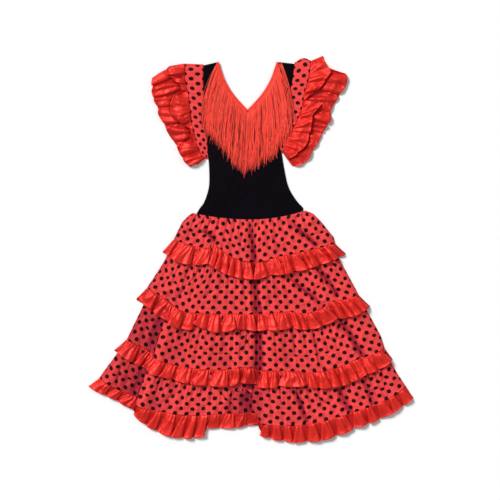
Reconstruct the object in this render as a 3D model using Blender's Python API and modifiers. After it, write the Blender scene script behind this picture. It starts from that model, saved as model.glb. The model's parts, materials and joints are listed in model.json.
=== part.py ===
"""A girl's flamenco dress, laid flat with its front up.

Tables and constants are in millimetres and degrees. X runs to the viewer's right, Y towards the
neck and Z up from the surface that the dress lies on. The skirt is part of a cone, so its seams
are arcs about one apex above the waist, and a skirt place is a radius and an angle from straight
down. Every piece is a wall of cloth: a grid of mid-wall points given its thickness by Solidify.
"""
import math

import bmesh
import bpy
import numpy as np

MM = 0.001
WALL = 1.2
GAP = 0.3
LAYER = WALL + GAP

# Heights of the mid-walls above the surface, from the lowest layer up
FLOOR_LAYER = WALL / 2
SECOND_LAYER = FLOOR_LAYER + LAYER
BACK_RUFFLE_WAVE = 1.8
BACK_OVER_RUFFLE = FLOOR_LAYER + BACK_RUFFLE_WAVE + LAYER + 0.3
FRONT_LOWEST = BACK_OVER_RUFFLE + LAYER
FRONT_LOFT = 3.6

APEX = (1.2, 406.0)
WAIST_RADIUS = 330.5
WAIST_RISE_LEFT = 13.5
WAIST_RISE_RIGHT = 6.0
WAIST_ANGLE_LEFT = -23.5
WAIST_ANGLE_RIGHT = 23.3
WAIST_TO_LOFT = 34.0
FOLD_INSET = 3.0
WAIST_GAP = 0.6
WAIST_CORNER = 0.4
SIDE_DROOP_WIDTH = 2.2

TIER_FRONT_COLUMNS = 36
TIER_BACK_COLUMNS = 10
TIER_LIP = 1.5
TIER_LIP_RISE = 5.4
TIER_LIP_START_RISE = 2.0
TIER_LIP_START = 9.0
TIER_TOP_COVERED = 12.0
TIER_TOP_CLEAR = 30.0
TIER_COVERED_PAST_RUFFLE = 2.5
TIER_CLEAR_PAST_RUFFLE = 14.0
WAVE_COLUMNS = 4
BACK_WAVE_COLUMNS = 2
# A wave's width, size and profile: shares of unevenness, and the power that broadens its crown
WAVE_WIDTH_SPREAD = (0.28, 0.18)
WAVE_SIZE_MEAN = 0.85
WAVE_SIZE_SPREAD = 0.25
WAVE_CROWN_POWER = 0.8

# Side seams of the skirt: radius, left angle, right angle
SIDES = (
    (336, -22.8, 23.3),
    (344, -23.5, 24.9),
    (352, -24.8, 26.0),
    (375, -26.2, 27.0),
    (425, -26.2, 28.1),
    (482, -26.0, 27.0),
    (565, -27.0, 27.2),
    (602, -25.9, 27.2),
    (700, -25.9, 27.4),
    (745, -26.4, 26.8),
    (800, -27.1, 26.9),
    (850, -27.5, 27.3),
)

# Flounce panels between the skirt's large folds: ruffle number, from and to angle, then the radius
# of the seam and of the free edge at the panel's start, middle and end
PANELS = (
    (1, -27.5, -13.6, 426, 421, 415, 465, 470, 452),
    (1, -13.6, 6.0, 396, 431, 433, 452, 476, 473),
    (1, 6.0, 29.5, 431, 430, 446, 472, 475, 480),
    (2, -28.0, -20.0, 565, 566, 573, 597, 609, 618),
    (2, -20.0, -13.0, 574, 583, 577, 618, 626, 620),
    (2, -13.0, -3.5, 577, 571, 565, 606, 616, 601),
    (2, -3.5, 10.0, 566, 566, 568, 604, 607, 609),
    (2, 10.0, 20.5, 568, 582, 570, 610, 623, 614),
    (2, 20.5, 28.5, 571, 580, 584, 615, 626, 622),
    (3, -27.0, -20.0, 705, 702, 708, 740, 746, 748),
    (3, -20.0, -3.0, 717, 715, 703, 755, 753, 746),
    (3, -3.0, 1.2, 701, 699, 702, 739, 737, 742),
    (3, 1.2, 11.0, 707, 711, 725, 749, 751, 755),
    (3, 11.0, 22.5, 727, 731, 726, 762, 777, 770),
    (3, 22.5, 27.5, 731, 733, 733, 771, 773, 766),
    (4, -28.2, -19.8, 817, 822, 822, 852, 850, 856),
    (4, -19.8, -7.5, 844, 837, 825, 876, 893, 878),
    (4, -7.5, 1.5, 824, 815, 815, 857, 855, 845),
    (4, 1.5, 16.8, 840, 852, 850, 868, 896, 890),
    (4, 16.8, 27.6, 850, 850, 843, 888, 888, 876),
)
PANEL_BLEND = 0.9

# Ruffles: left and right end angle at the free edge, waves in front, waves at the back,
# and how far the back's seam rises above the chord of its ends
RUFFLES = (
    (-27.4, 29.5, 12, 6, 6.0),
    (-27.7, 28.4, 14, 7, 8.0),
    (-26.9, 27.4, 16, 8, 12.0),
    (-28.1, 27.5, 20, 9, 20.0),
)
RUFFLE_EDGE_WAVE = 7.0
RUFFLE_MIDDLE_WAVE = 3.5
RUFFLE_MIDDLE = 0.35
RUFFLE_SCALLOP = 3.0
RUFFLE_SIDE_START = 3.0
HEM_EDGE_HEIGHT = 4.4
CARRY_REACH_SEAM = 0.25
CARRY_REACH = 0.8
CARRY_MARGIN = (0.5, 1.0, 0.8)

# Large folds of the skirt's front: from angle and radius, to angle and radius, half width and
# rise, which is negative where the fold is a trough
FOLDS = (
    (0.9, 345, 1.7, 560, 9, -4.5),
    (1.6, 560, 1.4, 720, 12, -6.5),
    (-1.5, 740, -3.0, 840, 34, -6.5),
    (-3.5, 600, -2.5, 690, 26, 2.5),
    (4.5, 600, 4.5, 830, 28, 2.5),
    (16.5, 360, 22.5, 428, 8, -4.0),
    (19.5, 350, 25.0, 420, 16, 3.0),
    (10.5, 485, 17.5, 562, 8, -3.5),
    (20.3, 482, 22.4, 560, 9, -4.5),
    (18.0, 490, 19.5, 560, 18, 2.5),
    (21.0, 640, 22.5, 730, 10, -5.0),
    (24.5, 640, 25.0, 730, 20, 2.0),
    (8.6, 775, 9.6, 846, 8, -3.0),
    (16.0, 790, 17.3, 880, 9, -5.5),
    (21.5, 790, 21.0, 860, 12, -3.0),
    (-22.6, 620, -21.6, 860, 26, -4.5),
    (-18.6, 620, -18.4, 840, 14, 4.0),
    (-13.4, 390, -17.5, 380, 8, -3.5),
    (-10.5, 600, -9.5, 700, 24, 2.0),
    (-6.5, 800, -7.6, 880, 12, 2.5),
)

# Bodice rows from the shoulder down: side left x and y, neck left x, neck right x and neck y,
# side right x and y. Below the point of the neck both neck values are the centre line.
NECK_POINT_ROW = 3
UNDERARM_ROW = 8
BODICE = (
    (-116, 460, -79, 68, 463, 111, 464),
    (-116, 424, -65, 53, 424, 106, 424),
    (-115, 384, -42, 30, 386, 99, 394),
    (-112, 344, -6, -6, 346, 90, 361),
    (-110, 314, -6, -6, 314, 79, 331),
    (-107, 284, -6, -6, 284, 72, 304),
    (-106, 256, -6, -6, 259, 70, 279),
    (-105, 239, -6, -6, 241, 72, 259),
    (-104, 229, -6, -6, 226, 78, 244),
    (-102, 199, -6, -6, 196, 84, 209),
    (-102, 164, -6, -6, 164, 92, 169),
    (-107, 139, -6, -6, 136, 102, 144),
    (-116, 116, -6, -6, 111, 119, 119),
    (-125, 104, -6, -6, 91, 132, 105),
)
BODICE_HALF_COLUMNS = 4
BACK_NECK_SET_BACK = 1.5

# Sleeve sections from the shoulder fold to the underarm fold: band edge x and y, upper ruffle's
# edge x and y, lower ruffle's edge x and y. The band starts at the bodice's rows.
SLEEVES = {
    "left": (
        (-162, 462, -196, 456, -245, 426),
        (-161, 424, -195, 419, -243, 404),
        (-154, 389, -192, 381, -239, 376),
        (-149, 354, -192, 354, -230, 351),
        (-146, 319, -180, 324, -216, 319),
        (-138, 286, -160, 301, -199, 284),
        (-129, 254, -150, 271, -180, 255),
        (-120, 236, -142, 236, -165, 225),
        (-114, 228, -134, 215, -149, 209),
    ),
    "right": (
        (152, 469, 184, 480, 242, 436),
        (145, 424, 182, 421, 236, 411),
        (135, 389, 168, 384, 221, 381),
        (129, 354, 165, 356, 201, 344),
        (118, 325, 155, 326, 191, 313),
        (104, 298, 138, 294, 179, 288),
        (91, 276, 122, 269, 159, 259),
        (85, 254, 108, 244, 138, 225),
        (83, 243, 94, 226, 111, 209),
    ),
}
BAND_ROWS = (0.0, 0.5, 1.0)
BAND_RISE = (0.0, 0.96, 1.2)
ARM_GAP = 0.6
LONG_RUFFLE_GAP = 2 * GAP
SHORT_RUFFLE_GAP = 3 * GAP
LOWER_RUFFLE_WAVES = 8
UPPER_RUFFLE_WAVES = 7
LOWER_RUFFLE_ROWS = (0.0, 0.35, 0.65, 1.0)
LOWER_RUFFLE_HEIGHTS = (4.8, 5.0, 4.8, 3.2)
LOWER_RUFFLE_BACK = (2.1, 2.1, 2.1, 0.6)
LOWER_RUFFLE_WAVE = (0.0, 2.5, 4.5, 8.0)
LOWER_RUFFLE_INSET = (7.0, 5.0, 3.0, 3.0)
UPPER_RUFFLE_ROWS = (0.0, 0.5, 1.0)
UPPER_RUFFLE_WAVE = (0.0, 3.0, 6.0)
UPPER_RUFFLE_REACH = (-0.05, -0.025, 0.0, 0.025, 0.05)
UPPER_RUFFLE_MARGIN = 0.2
UPPER_RUFFLE_INSET = 0.5

# Fringe: strands on each side of the neck, header depth, and the tips' x and y from the
# shoulder to the point of the neck
FRINGE_STRANDS = 42
FRINGE_HEADER_TOP = (-10.5, -6.5)
FRINGE_HEADER_POINT = 22.0
FRINGE_HEADER_START = 1.0
FRINGE_BULGE = 15.0
FRINGE_STRAND_THICKNESS = 1.0
FRINGE_STRAND_LIFT = 1.5
FRINGE_FILL = 0.74
FRINGE_STRAND_LEVELS = ((0.12, 0.6), (0.55, 1.0), (1.0, 0.75))
FRINGE_ROOT_OUT = (0.4, -0.8)
FRINGE_TIPS = {
    "left": ((-105, 286), (-79, 264), (-55, 231), (-30, 199), (-8, 182)),
    "right": ((79, 253), (66, 240), (50, 219), (20, 210), (-3, 184)),
}

COLOURS = {
    "bodice_velvet": (0.006, 0.004, 0.007),
    "dotted_cloth": (0.78, 0.060, 0.058),
    "ruffle_satin": (0.86, 0.040, 0.026),
    "fringe_yarn": (0.95, 0.075, 0.035),
}
ROUGHNESS = {"bodice_velvet": 0.9, "dotted_cloth": 0.7, "ruffle_satin": 0.4, "fringe_yarn": 0.6}


def polar(radius, angle):
    """Plan position of a skirt place, from its radius and its angle from straight down."""
    turn = np.radians(angle)
    return APEX[0] + radius * np.sin(turn), APEX[1] - radius * np.cos(turn)


def side_angles(radius):
    """Left and right angle of the skirt's side folds at a radius."""
    rows = np.array(SIDES, float)
    return np.interp(radius, rows[:, 0], rows[:, 1]), np.interp(radius, rows[:, 0], rows[:, 2])


def waist(angle):
    """Radius of the waist seam, which rises to both sides."""
    left = WAIST_RISE_LEFT * (angle / WAIST_ANGLE_LEFT) ** 2
    right = WAIST_RISE_RIGHT * (angle / WAIST_ANGLE_RIGHT) ** 2
    return WAIST_RADIUS + np.where(angle < 0, left, right)


def panel_radius(ruffle, angle, first):
    """Radius at an angle from the panels' three values, with the steps between panels eased."""
    rows = [row for row in PANELS if row[0] == ruffle]
    total = 0.0
    shifts = (-1.0, -0.5, 0.0, 0.5, 1.0)
    for shift in shifts:
        at = np.clip(np.asarray(angle, float) + shift * PANEL_BLEND, rows[0][1], rows[-1][2])
        value = np.zeros_like(at)
        for row in rows:
            t = (at - row[1]) / (row[2] - row[1])
            start, middle, end = row[first:first + 3]
            curve = start * (1 - t) * (1 - 2 * t) + 4 * middle * t * (1 - t) + end * t * (2 * t - 1)
            value = np.where((at >= row[1]) & (at <= row[2]), curve, value)
        total = total + value
    return total / len(shifts)


def seam(ruffle, angle):
    """Radius of the seam that a ruffle hangs from, in front."""
    return panel_radius(ruffle, angle, 3)


def edge(ruffle, angle):
    """Radius of a ruffle's free edge, in front."""
    return panel_radius(ruffle, angle, 6)


def back_arc(front_arc, ruffle, angle):
    """The same line at the back: through the front's side values, with a plain rise between."""
    left, right = side_angles(float(front_arc(ruffle, 0.0)))
    t = np.clip((angle - left) / (right - left), 0, 1)
    ends = front_arc(ruffle, left) * (1 - t) + front_arc(ruffle, right) * t
    return ends - RUFFLES[ruffle - 1][4] * 4 * t * (1 - t)


def front_height(angle, radius):
    """Height of the front's mid-wall: its loft above the back, with the large folds."""
    x, y = polar(radius, angle)
    height = np.full(np.shape(x), FRONT_LOWEST + FRONT_LOFT)
    for from_angle, from_radius, to_angle, to_radius, half_width, rise in FOLDS:
        ax, ay = polar(from_radius, from_angle)
        bx, by = polar(to_radius, to_angle)
        along = ((x - ax) * (bx - ax) + (y - ay) * (by - ay)) / ((bx - ax) ** 2 + (by - ay) ** 2)
        along = np.clip(along, 0, 1)
        away = np.hypot(x - ax - along * (bx - ax), y - ay - along * (by - ay))
        height = height + rise * np.exp(-(away / half_width) ** 2)
    left, right = side_angles(radius)
    to_side = np.minimum(angle - left, right - angle) / SIDE_DROOP_WIDTH
    droop = np.clip(1 - to_side, 0, 1) ** 2
    height = np.maximum(height - droop * FRONT_LOFT, FRONT_LOWEST)
    below = np.clip((radius - waist(angle)) / WAIST_TO_LOFT, 0, 1)
    below = below * below * (3 - 2 * below)
    return SECOND_LAYER + (height - SECOND_LAYER) * below


def ring(front, back, outward_left, outward_right, fold_out):
    """Closes a front and a back grid into a flattened tube, with one fold line at each side."""
    folds = []
    for front_line, back_line, outward in (
        (front[:, 0], back[:, 0], outward_left),
        (front[:, -1], back[:, -1], outward_right),
    ):
        folds.append((front_line + back_line) / 2 + outward * fold_out)
    left, right = folds
    return np.concatenate([front, right[:, None], back[:, ::-1], left[:, None]], axis=1)


def wall_object(name, points, faces, slot):
    """A named object: mid-wall points in millimetres with the cloth's thickness around them."""
    mesh = bpy.data.meshes.new(name)
    mesh.from_pydata((np.asarray(points).reshape(-1, 3) * MM).tolist(), [], faces)
    mesh.shade_smooth()
    made = bpy.data.objects.new(name, mesh)
    made.data.materials.append(bpy.data.materials[slot])
    bpy.data.collections["flamenco_dress"].objects.link(made)
    solid = made.modifiers.new("cloth_wall", "SOLIDIFY")
    solid.thickness = WALL * MM
    solid.offset = 0.0
    solid.use_rim = True
    return made


def grid_faces(rows, columns, closed):
    """Quads of a grid whose rows run away from the neck; a closed grid is a tube."""
    last = columns if closed else columns - 1
    faces = []
    for row in range(rows - 1):
        for column in range(last):
            beside = (column + 1) % columns
            here, below = row * columns, (row + 1) * columns
            faces.append((here + column, below + column, below + beside, here + beside))
    return faces


def tube_object(name, points, slot):
    """A flattened tube of cloth, open at its top and bottom."""
    return wall_object(name, points, grid_faces(points.shape[0], points.shape[1], True), slot)


def skirt_points(radius, angle, height):
    """Stacks a skirt grid's plan positions and heights into points."""
    x, y = polar(radius, angle)
    return np.stack([x, y, height], axis=-1)


def side_directions(angles):
    """Unit vectors that point out of the skirt at its left and right side, one for each row."""
    turn = np.radians(angles)
    return np.stack([np.cos(turn), np.sin(turn), np.zeros_like(turn)], axis=-1)


def spread_angles(left, right, shares, radius):
    """Angles of a row's columns, the first and last set in from the sides by the fold."""
    inset = math.degrees(FOLD_INSET / radius)
    return (left + inset) + (right - left - 2 * inset) * shares


def tier_lines(tier, angle, front):
    """Radii of a tier's rows: seam, under the ruffle, past it, through the panel, to the lip."""
    def arc(line, ruffle):
        return line(ruffle, angle) if front else back_arc(line, ruffle, angle)

    if tier == 1:
        start = waist(angle) + WAIST_GAP
        covered = start + TIER_TOP_COVERED
        clear = start + TIER_TOP_CLEAR
    else:
        start = arc(seam, tier - 1) + GAP
        covered = arc(edge, tier - 1) + TIER_COVERED_PAST_RUFFLE
        clear = covered + TIER_CLEAR_PAST_RUFFLE
    bottom = arc(seam, tier)
    lip = bottom - TIER_LIP_START
    third = (lip - clear) / 3
    end = bottom + TIER_LIP if front else bottom - 2 * GAP
    return np.stack([start, covered, clear, clear + third, clear + 2 * third, lip, end])


def tier_grid(tier, front):
    """Angles, radii and heights of one side of a tier."""
    columns = TIER_FRONT_COLUMNS if front else TIER_BACK_COLUMNS
    shares = np.linspace(0, 1, columns + 1)
    rough = tier_lines(tier, np.array([WAIST_ANGLE_LEFT - 3.5, WAIST_ANGLE_RIGHT + 4.0]), True)
    if tier == 1:
        rough[0] = (WAIST_RADIUS + WAIST_RISE_LEFT, WAIST_RADIUS + WAIST_RISE_RIGHT)
    angles = []
    for left_radius, right_radius in rough:
        left, right = side_angles(left_radius)[0], side_angles(right_radius)[1]
        angles.append(spread_angles(left, right, shares, (left_radius + right_radius) / 2))
    angles = np.array(angles)
    radii = np.array([tier_lines(tier, row, front)[index] for index, row in enumerate(angles)])
    if front:
        heights = front_height(angles, radii)
        heights[-2] += TIER_LIP_START_RISE
        heights[-1] += TIER_LIP_RISE
        radii[-1, [0, -1]] -= TIER_LIP + GAP
    else:
        heights = np.full(angles.shape, FLOOR_LAYER)
        if tier > 1:
            heights[0] = SECOND_LAYER
            heights[1] = BACK_OVER_RUFFLE
    return angles, radii, heights


def build_tier(tier):
    """One dotted tier of the skirt, front and back in one tube."""
    angles, radii, heights = tier_grid(tier, True)
    back_angles, back_radii, back_heights = tier_grid(tier, False)
    points = ring(
        skirt_points(radii, angles, heights),
        skirt_points(back_radii, back_angles, back_heights),
        -side_directions(angles[:, 0]),
        side_directions(angles[:, -1]),
        FOLD_INSET,
    )
    tube_object(f"skirt_tier_{tier}", points, "dotted_cloth")


def carried_height(grid, angle, radius, reach):
    """Height of the tier's own mesh between its first three rows, the highest within a reach."""
    angles, radii, heights = grid
    highest = np.zeros_like(angle)
    for shift in (-1.0, -0.5, 0.0, 0.5, 1.0):
        at = angle + shift * reach
        near = [np.interp(at, angles[row], radii[row]) for row in (0, 1, 2)]
        level = [np.interp(at, angles[row], heights[row]) for row in (0, 1, 2)]
        for row in (0, 1):
            share = (radius - near[row]) / (near[row + 1] - near[row])
            value = level[row] + (level[row + 1] - level[row]) * np.clip(share, 0, 1)
            highest = np.where((share > 0) | (row == 0), np.maximum(highest, value), highest)
    return highest


def wave_shares(waves, columns_each, seed):
    """Column places from 0 to 1 over uneven waves, with each one's phase and its wave's size."""
    index = np.arange(waves)
    widths = 1 + WAVE_WIDTH_SPREAD[0] * np.sin(2.4 * index + seed)
    widths = widths + WAVE_WIDTH_SPREAD[1] * np.sin(5.1 * index + 2 * seed)
    bounds = np.concatenate([[0], np.cumsum(widths)]) / widths.sum()
    phase = np.arange(columns_each) / columns_each
    shares = (bounds[:-1, None] + np.diff(bounds)[:, None] * phase).ravel()
    sizes = WAVE_SIZE_MEAN + WAVE_SIZE_SPREAD * np.sin(3.7 * index + 1.3 * seed)
    sizes = np.repeat(sizes, columns_each)
    phases = np.tile(phase, waves)
    return np.append(shares, 1.0), np.append(phases, 0.0), np.append(sizes, 1.0)


def dome(phase):
    """A ruffle wave's profile: a broad crown between narrow valleys."""
    return np.sin(np.pi * phase) ** WAVE_CROWN_POWER


def build_skirt_ruffle(ruffle):
    """One satin ruffle round the skirt, waved most at its free edge."""
    left_end, right_end, front_waves, back_waves = RUFFLES[ruffle - 1][:4]
    lies_on = tier_grid(ruffle + 1, True) if ruffle < len(RUFFLES) else None
    shares, phases, sizes = wave_shares(front_waves, WAVE_COLUMNS, ruffle)
    back_shares, back_phases, _ = wave_shares(back_waves, BACK_WAVE_COLUMNS, ruffle + 0.5)
    front, back, angle_rows = [], [], []
    rows = (0.0, RUFFLE_MIDDLE, 1.0)
    waves = (0.0, RUFFLE_MIDDLE_WAVE, RUFFLE_EDGE_WAVE)
    for row, wave, margin in zip(rows, waves, CARRY_MARGIN):
        start_left = side_angles(float(seam(ruffle, left_end)))[0]
        start_right = side_angles(float(seam(ruffle, right_end)))[1]
        start_radius = float(seam(ruffle, 0.0))
        out = math.degrees(RUFFLE_SIDE_START / start_radius)
        left = (start_left - out) * (1 - row) + left_end * row
        right = (start_right + out) * (1 - row) + right_end * row
        angle = spread_angles(left, right, shares, start_radius)
        top, bottom = seam(ruffle, angle) + GAP, edge(ruffle, angle)
        radius = top + (bottom - top) * row + RUFFLE_SCALLOP * (dome(phases) - 0.5) * row
        if lies_on is not None:
            reach = CARRY_REACH_SEAM if row == 0 else CARRY_REACH
            base = carried_height(lies_on, angle, radius, reach) + LAYER + margin
        else:
            base = front_height(angle, top) + LAYER - GAP
            base = base * (1 - row) + HEM_EDGE_HEIGHT * row
            base = np.maximum(base, HEM_EDGE_HEIGHT)
        front.append(skirt_points(radius, angle, base + wave * sizes * dome(phases)))
        back_angle = spread_angles(left, right, back_shares, start_radius)
        top = back_arc(seam, ruffle, back_angle) + GAP
        bottom = back_arc(edge, ruffle, back_angle)
        lift = BACK_RUFFLE_WAVE * row * dome(back_phases)
        back.append(skirt_points(top + (bottom - top) * row, back_angle, FLOOR_LAYER + lift))
        angle_rows.append((left, right))
    angle_rows = np.array(angle_rows)
    points = ring(
        np.array(front),
        np.array(back),
        -side_directions(angle_rows[:, 0]),
        side_directions(angle_rows[:, 1]),
        FOLD_INSET,
    )
    tube_object(f"skirt_ruffle_{ruffle}", points, "ruffle_satin")


def bodice_rows(neck_set_back):
    """Half rows of the bodice from shoulder to waist: left half points and right half points."""
    share = np.linspace(0, 1, BODICE_HALF_COLUMNS + 1)[:, None]
    left_rows, right_rows = [], []
    for index, (lx, ly, nlx, nrx, ny, rx, ry) in enumerate(BODICE):
        if index < NECK_POINT_ROW:
            nlx, nrx = nlx - neck_set_back, nrx + neck_set_back
        elif index == NECK_POINT_ROW:
            ny = ny - neck_set_back
        left_rows.append(np.array([lx, ly]) * (1 - share) + np.array([nlx, ny]) * share)
        right_rows.append(np.array([nrx, ny]) * (1 - share) + np.array([rx, ry]) * share)
    middle_angle = math.degrees(math.asin((BODICE[-1][2] - APEX[0]) / WAIST_RADIUS))
    for rows, start, end in (
        (left_rows, WAIST_ANGLE_LEFT + WAIST_CORNER, middle_angle),
        (right_rows, middle_angle, WAIST_ANGLE_RIGHT - WAIST_CORNER),
    ):
        angle = (start + (end - start) * share)[:, 0]
        rows.append(np.stack(polar(waist(angle), angle), axis=-1))
    return np.array(left_rows), np.array(right_rows)


def build_bodice(name, height, neck_set_back):
    """A bodice panel: two straps that join below the point of the neck."""
    left, right = bodice_rows(neck_set_back)
    rows, half = left.shape[:2]
    plan = np.concatenate([left, right], axis=1).reshape(-1, 2)
    points = np.column_stack([plan, np.full(len(plan), height)])
    faces = [face for face in grid_faces(rows, 2 * half, False) if face[0] % (2 * half) != half - 1]
    made = wall_object(name, points, faces, "bodice_velvet")
    shape = bmesh.new()
    shape.from_mesh(made.data)
    bmesh.ops.remove_doubles(shape, verts=shape.verts, dist=0.0001)
    shape.to_mesh(made.data)
    shape.free()


def sleeve_section(side, part):
    """A function of s from 0 to 1 that gives the plan points of one of the sleeve's lines."""
    if part == "arm":
        first = 0 if side == "left" else 5
        rows = np.array([row[first:first + 2] for row in BODICE[:UNDERARM_ROW + 1]], float)
    else:
        first = {"band": 0, "upper": 2, "lower": 4}[part]
        rows = np.array([row[first:first + 2] for row in SLEEVES[side]], float)
    knots = np.linspace(0, 1, len(rows))
    return lambda s: np.stack([np.interp(s, knots, rows[:, 0]), np.interp(s, knots, rows[:, 1])], -1)


def sleeve_tube(side, name, slot, start, end, rows, s_front, s_back, front_z, back_z, inset):
    """A flattened sleeve tube between two lines, from shoulder fold to underarm fold.

    Only the columns next to the two folds are pulled in, so the rest keep their own s.
    """
    front, back, out_top, out_bottom = [], [], [], []
    for index, share in enumerate(rows):
        def line(s):
            return start(s) + (end(s) - start(s)) * share
        length = np.linalg.norm(np.diff(line(np.linspace(0, 1, 33)), axis=0), axis=1).sum()
        step = inset[index] / length
        for source, target, heights in ((s_front, front, front_z), (s_back, back, back_z)):
            s = np.clip(source, 0, 1)
            s = np.where(s < 0.5, s + step * (1 - 2 * s) ** 8, s - step * (2 * s - 1) ** 8)
            target.append(np.column_stack([line(s), heights(index, s)]))
        first, last = line(0.0) - line(0.04), line(1.0) - line(0.96)
        out_top.append(np.append(first / np.linalg.norm(first), 0.0))
        out_bottom.append(np.append(last / np.linalg.norm(last), 0.0))
    front, back = np.array(front), np.array(back)
    points = ring(front, back, np.array(out_top), np.array(out_bottom), FOLD_INSET - GAP)
    if side == "left":
        points = points[:, ::-1]
    faces = grid_faces(points.shape[0], points.shape[1], True)
    return wall_object(name, points, faces, slot), front


def build_sleeve(side):
    """One flat sleeve: a dotted band with a long satin ruffle and a short one over it."""
    outward = np.array([-1.0 if side == "left" else 1.0, 0.0])
    arm, band = sleeve_section(side, "arm"), sleeve_section(side, "band")
    upper, lower = sleeve_section(side, "upper"), sleeve_section(side, "lower")

    def arm_edge(s):
        return arm(s) + outward * ARM_GAP

    def ruffle_start(s):
        return band(s) + outward * LONG_RUFFLE_GAP

    def short_start(s):
        return band(s) + outward * SHORT_RUFFLE_GAP

    plain = np.linspace(0, 1, UNDERARM_ROW + 1)
    sleeve_tube(
        side, f"sleeve_band_{side}", "dotted_cloth", arm_edge, band, BAND_ROWS, plain, plain,
        lambda row, s: np.full(s.shape, SECOND_LAYER + BAND_RISE[row]),
        lambda row, s: np.full(s.shape, FLOOR_LAYER), (FOLD_INSET,) * len(BAND_ROWS),
    )
    seed = 1.0 if side == "left" else 2.2
    shares, phases, sizes = wave_shares(LOWER_RUFFLE_WAVES, WAVE_COLUMNS, seed)

    def lower_height(row, s):
        return LOWER_RUFFLE_HEIGHTS[row] + LOWER_RUFFLE_WAVE[row] * sizes * dome(phases)

    _, long_front = sleeve_tube(
        side, f"sleeve_ruffle_lower_{side}", "ruffle_satin", ruffle_start, lower,
        LOWER_RUFFLE_ROWS, shares, plain, lower_height,
        lambda row, s: np.full(s.shape, LOWER_RUFFLE_BACK[row]), LOWER_RUFFLE_INSET,
    )
    short_shares, short_phases, short_sizes = wave_shares(UPPER_RUFFLE_WAVES, WAVE_COLUMNS, seed + 1)

    def upper_height(row, s):
        share = UPPER_RUFFLE_ROWS[row]
        reach = np.linalg.norm((upper(s) - short_start(s)) * share, axis=-1)
        reach = reach / np.linalg.norm(lower(s) - ruffle_start(s), axis=-1)
        base = None
        for shift in UPPER_RUFFLE_REACH:
            levels = [np.interp(s + shift, shares, line[:, 2]) for line in long_front]
            value = np.array([
                np.interp(reach[i], LOWER_RUFFLE_ROWS, [level[i] for level in levels])
                for i in range(len(s))
            ])
            base = value if base is None else np.maximum(base, value)
        wave = UPPER_RUFFLE_WAVE[row] * short_sizes * dome(short_phases)
        return base + LAYER + UPPER_RUFFLE_MARGIN + wave

    sleeve_tube(
        side, f"sleeve_ruffle_upper_{side}", "ruffle_satin", short_start, upper,
        UPPER_RUFFLE_ROWS, short_shares, plain, upper_height,
        lambda row, s: np.full(s.shape, FLOOR_LAYER), (UPPER_RUFFLE_INSET,) * 3,
    )


def neck_line(side):
    """A function of t from 0 at the shoulder to 1 at the neck's point, along the neck's edge."""
    column = 2 if side == "left" else 3
    rows = np.array([(row[column], row[4]) for row in BODICE[:NECK_POINT_ROW + 1]], float)
    lengths = np.concatenate([[0], np.cumsum(np.linalg.norm(np.diff(rows, axis=0), axis=1))])
    return lambda t: np.stack(
        [np.interp(t, lengths / lengths[-1], rows[:, axis]) for axis in (0, 1)], axis=-1
    )


def build_fringe(side):
    """A header strip along one side of the neck with a row of strands fused into its edge."""
    sign = -1 if side == "left" else 1
    t = np.linspace(0, 1, FRINGE_STRANDS + 1)
    neck = neck_line(side)(t)
    depth_x = np.abs(FRINGE_HEADER_TOP[0]) * (1 - t) * sign
    depth_y = FRINGE_HEADER_TOP[1] * (1 - t) - FRINGE_HEADER_POINT * t ** 2
    inner = neck + np.stack([sign * FRINGE_HEADER_START * np.ones_like(t), -0.5 - 1.0 * t], -1)
    inner[-1, 0] = outer_x = neck[-1, 0] + sign * GAP
    outer = neck + np.stack([depth_x, depth_y], -1)
    outer[-1, 0] = outer_x
    height = SECOND_LAYER + LAYER
    shape = bmesh.new()
    lines = []
    for line in (inner, outer):
        for z in (height - WALL / 2, height + WALL / 2):
            lines.append([shape.verts.new(np.append(point, z) * MM) for point in line])
    inner_low, inner_high, outer_low, outer_high = lines
    roots = []
    for i in range(FRINGE_STRANDS):
        shape.faces.new((inner_high[i], inner_high[i + 1], outer_high[i + 1], outer_high[i]))
        shape.faces.new((inner_low[i], outer_low[i], outer_low[i + 1], inner_low[i + 1]))
        shape.faces.new((inner_low[i], inner_low[i + 1], inner_high[i + 1], inner_high[i]))
        roots.append(
            shape.faces.new((outer_low[i], outer_high[i], outer_high[i + 1], outer_low[i + 1]))
        )
    for i in (0, FRINGE_STRANDS):
        shape.faces.new((inner_low[i], inner_high[i], outer_high[i], outer_low[i]))
    tips = np.array(FRINGE_TIPS[side], float)
    knots = np.linspace(0, 1, len(tips))
    middle_t = (t[:-1] + t[1:]) / 2
    ends = np.stack([np.interp(middle_t, knots, tips[:, axis]) for axis in (0, 1)], -1)
    widths = np.abs(np.diff(outer[:, 0])) * FRINGE_FILL
    tip_widths = np.abs(np.gradient(ends[:, 0])) * FRINGE_FILL
    for i, face in enumerate(roots):
        root = (outer[i] + outer[i + 1]) / 2
        grow_strand(shape, face, root, ends[i], middle_t[i], sign, height, (widths[i], tip_widths[i]))
    bmesh.ops.recalc_face_normals(shape, faces=shape.faces)
    mesh = bpy.data.meshes.new(f"fringe_{side}")
    shape.to_mesh(mesh)
    shape.free()
    mesh.materials.append(bpy.data.materials["fringe_yarn"])
    made = bpy.data.objects.new(f"fringe_{side}", mesh)
    bpy.data.collections["flamenco_dress"].objects.link(made)


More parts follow.
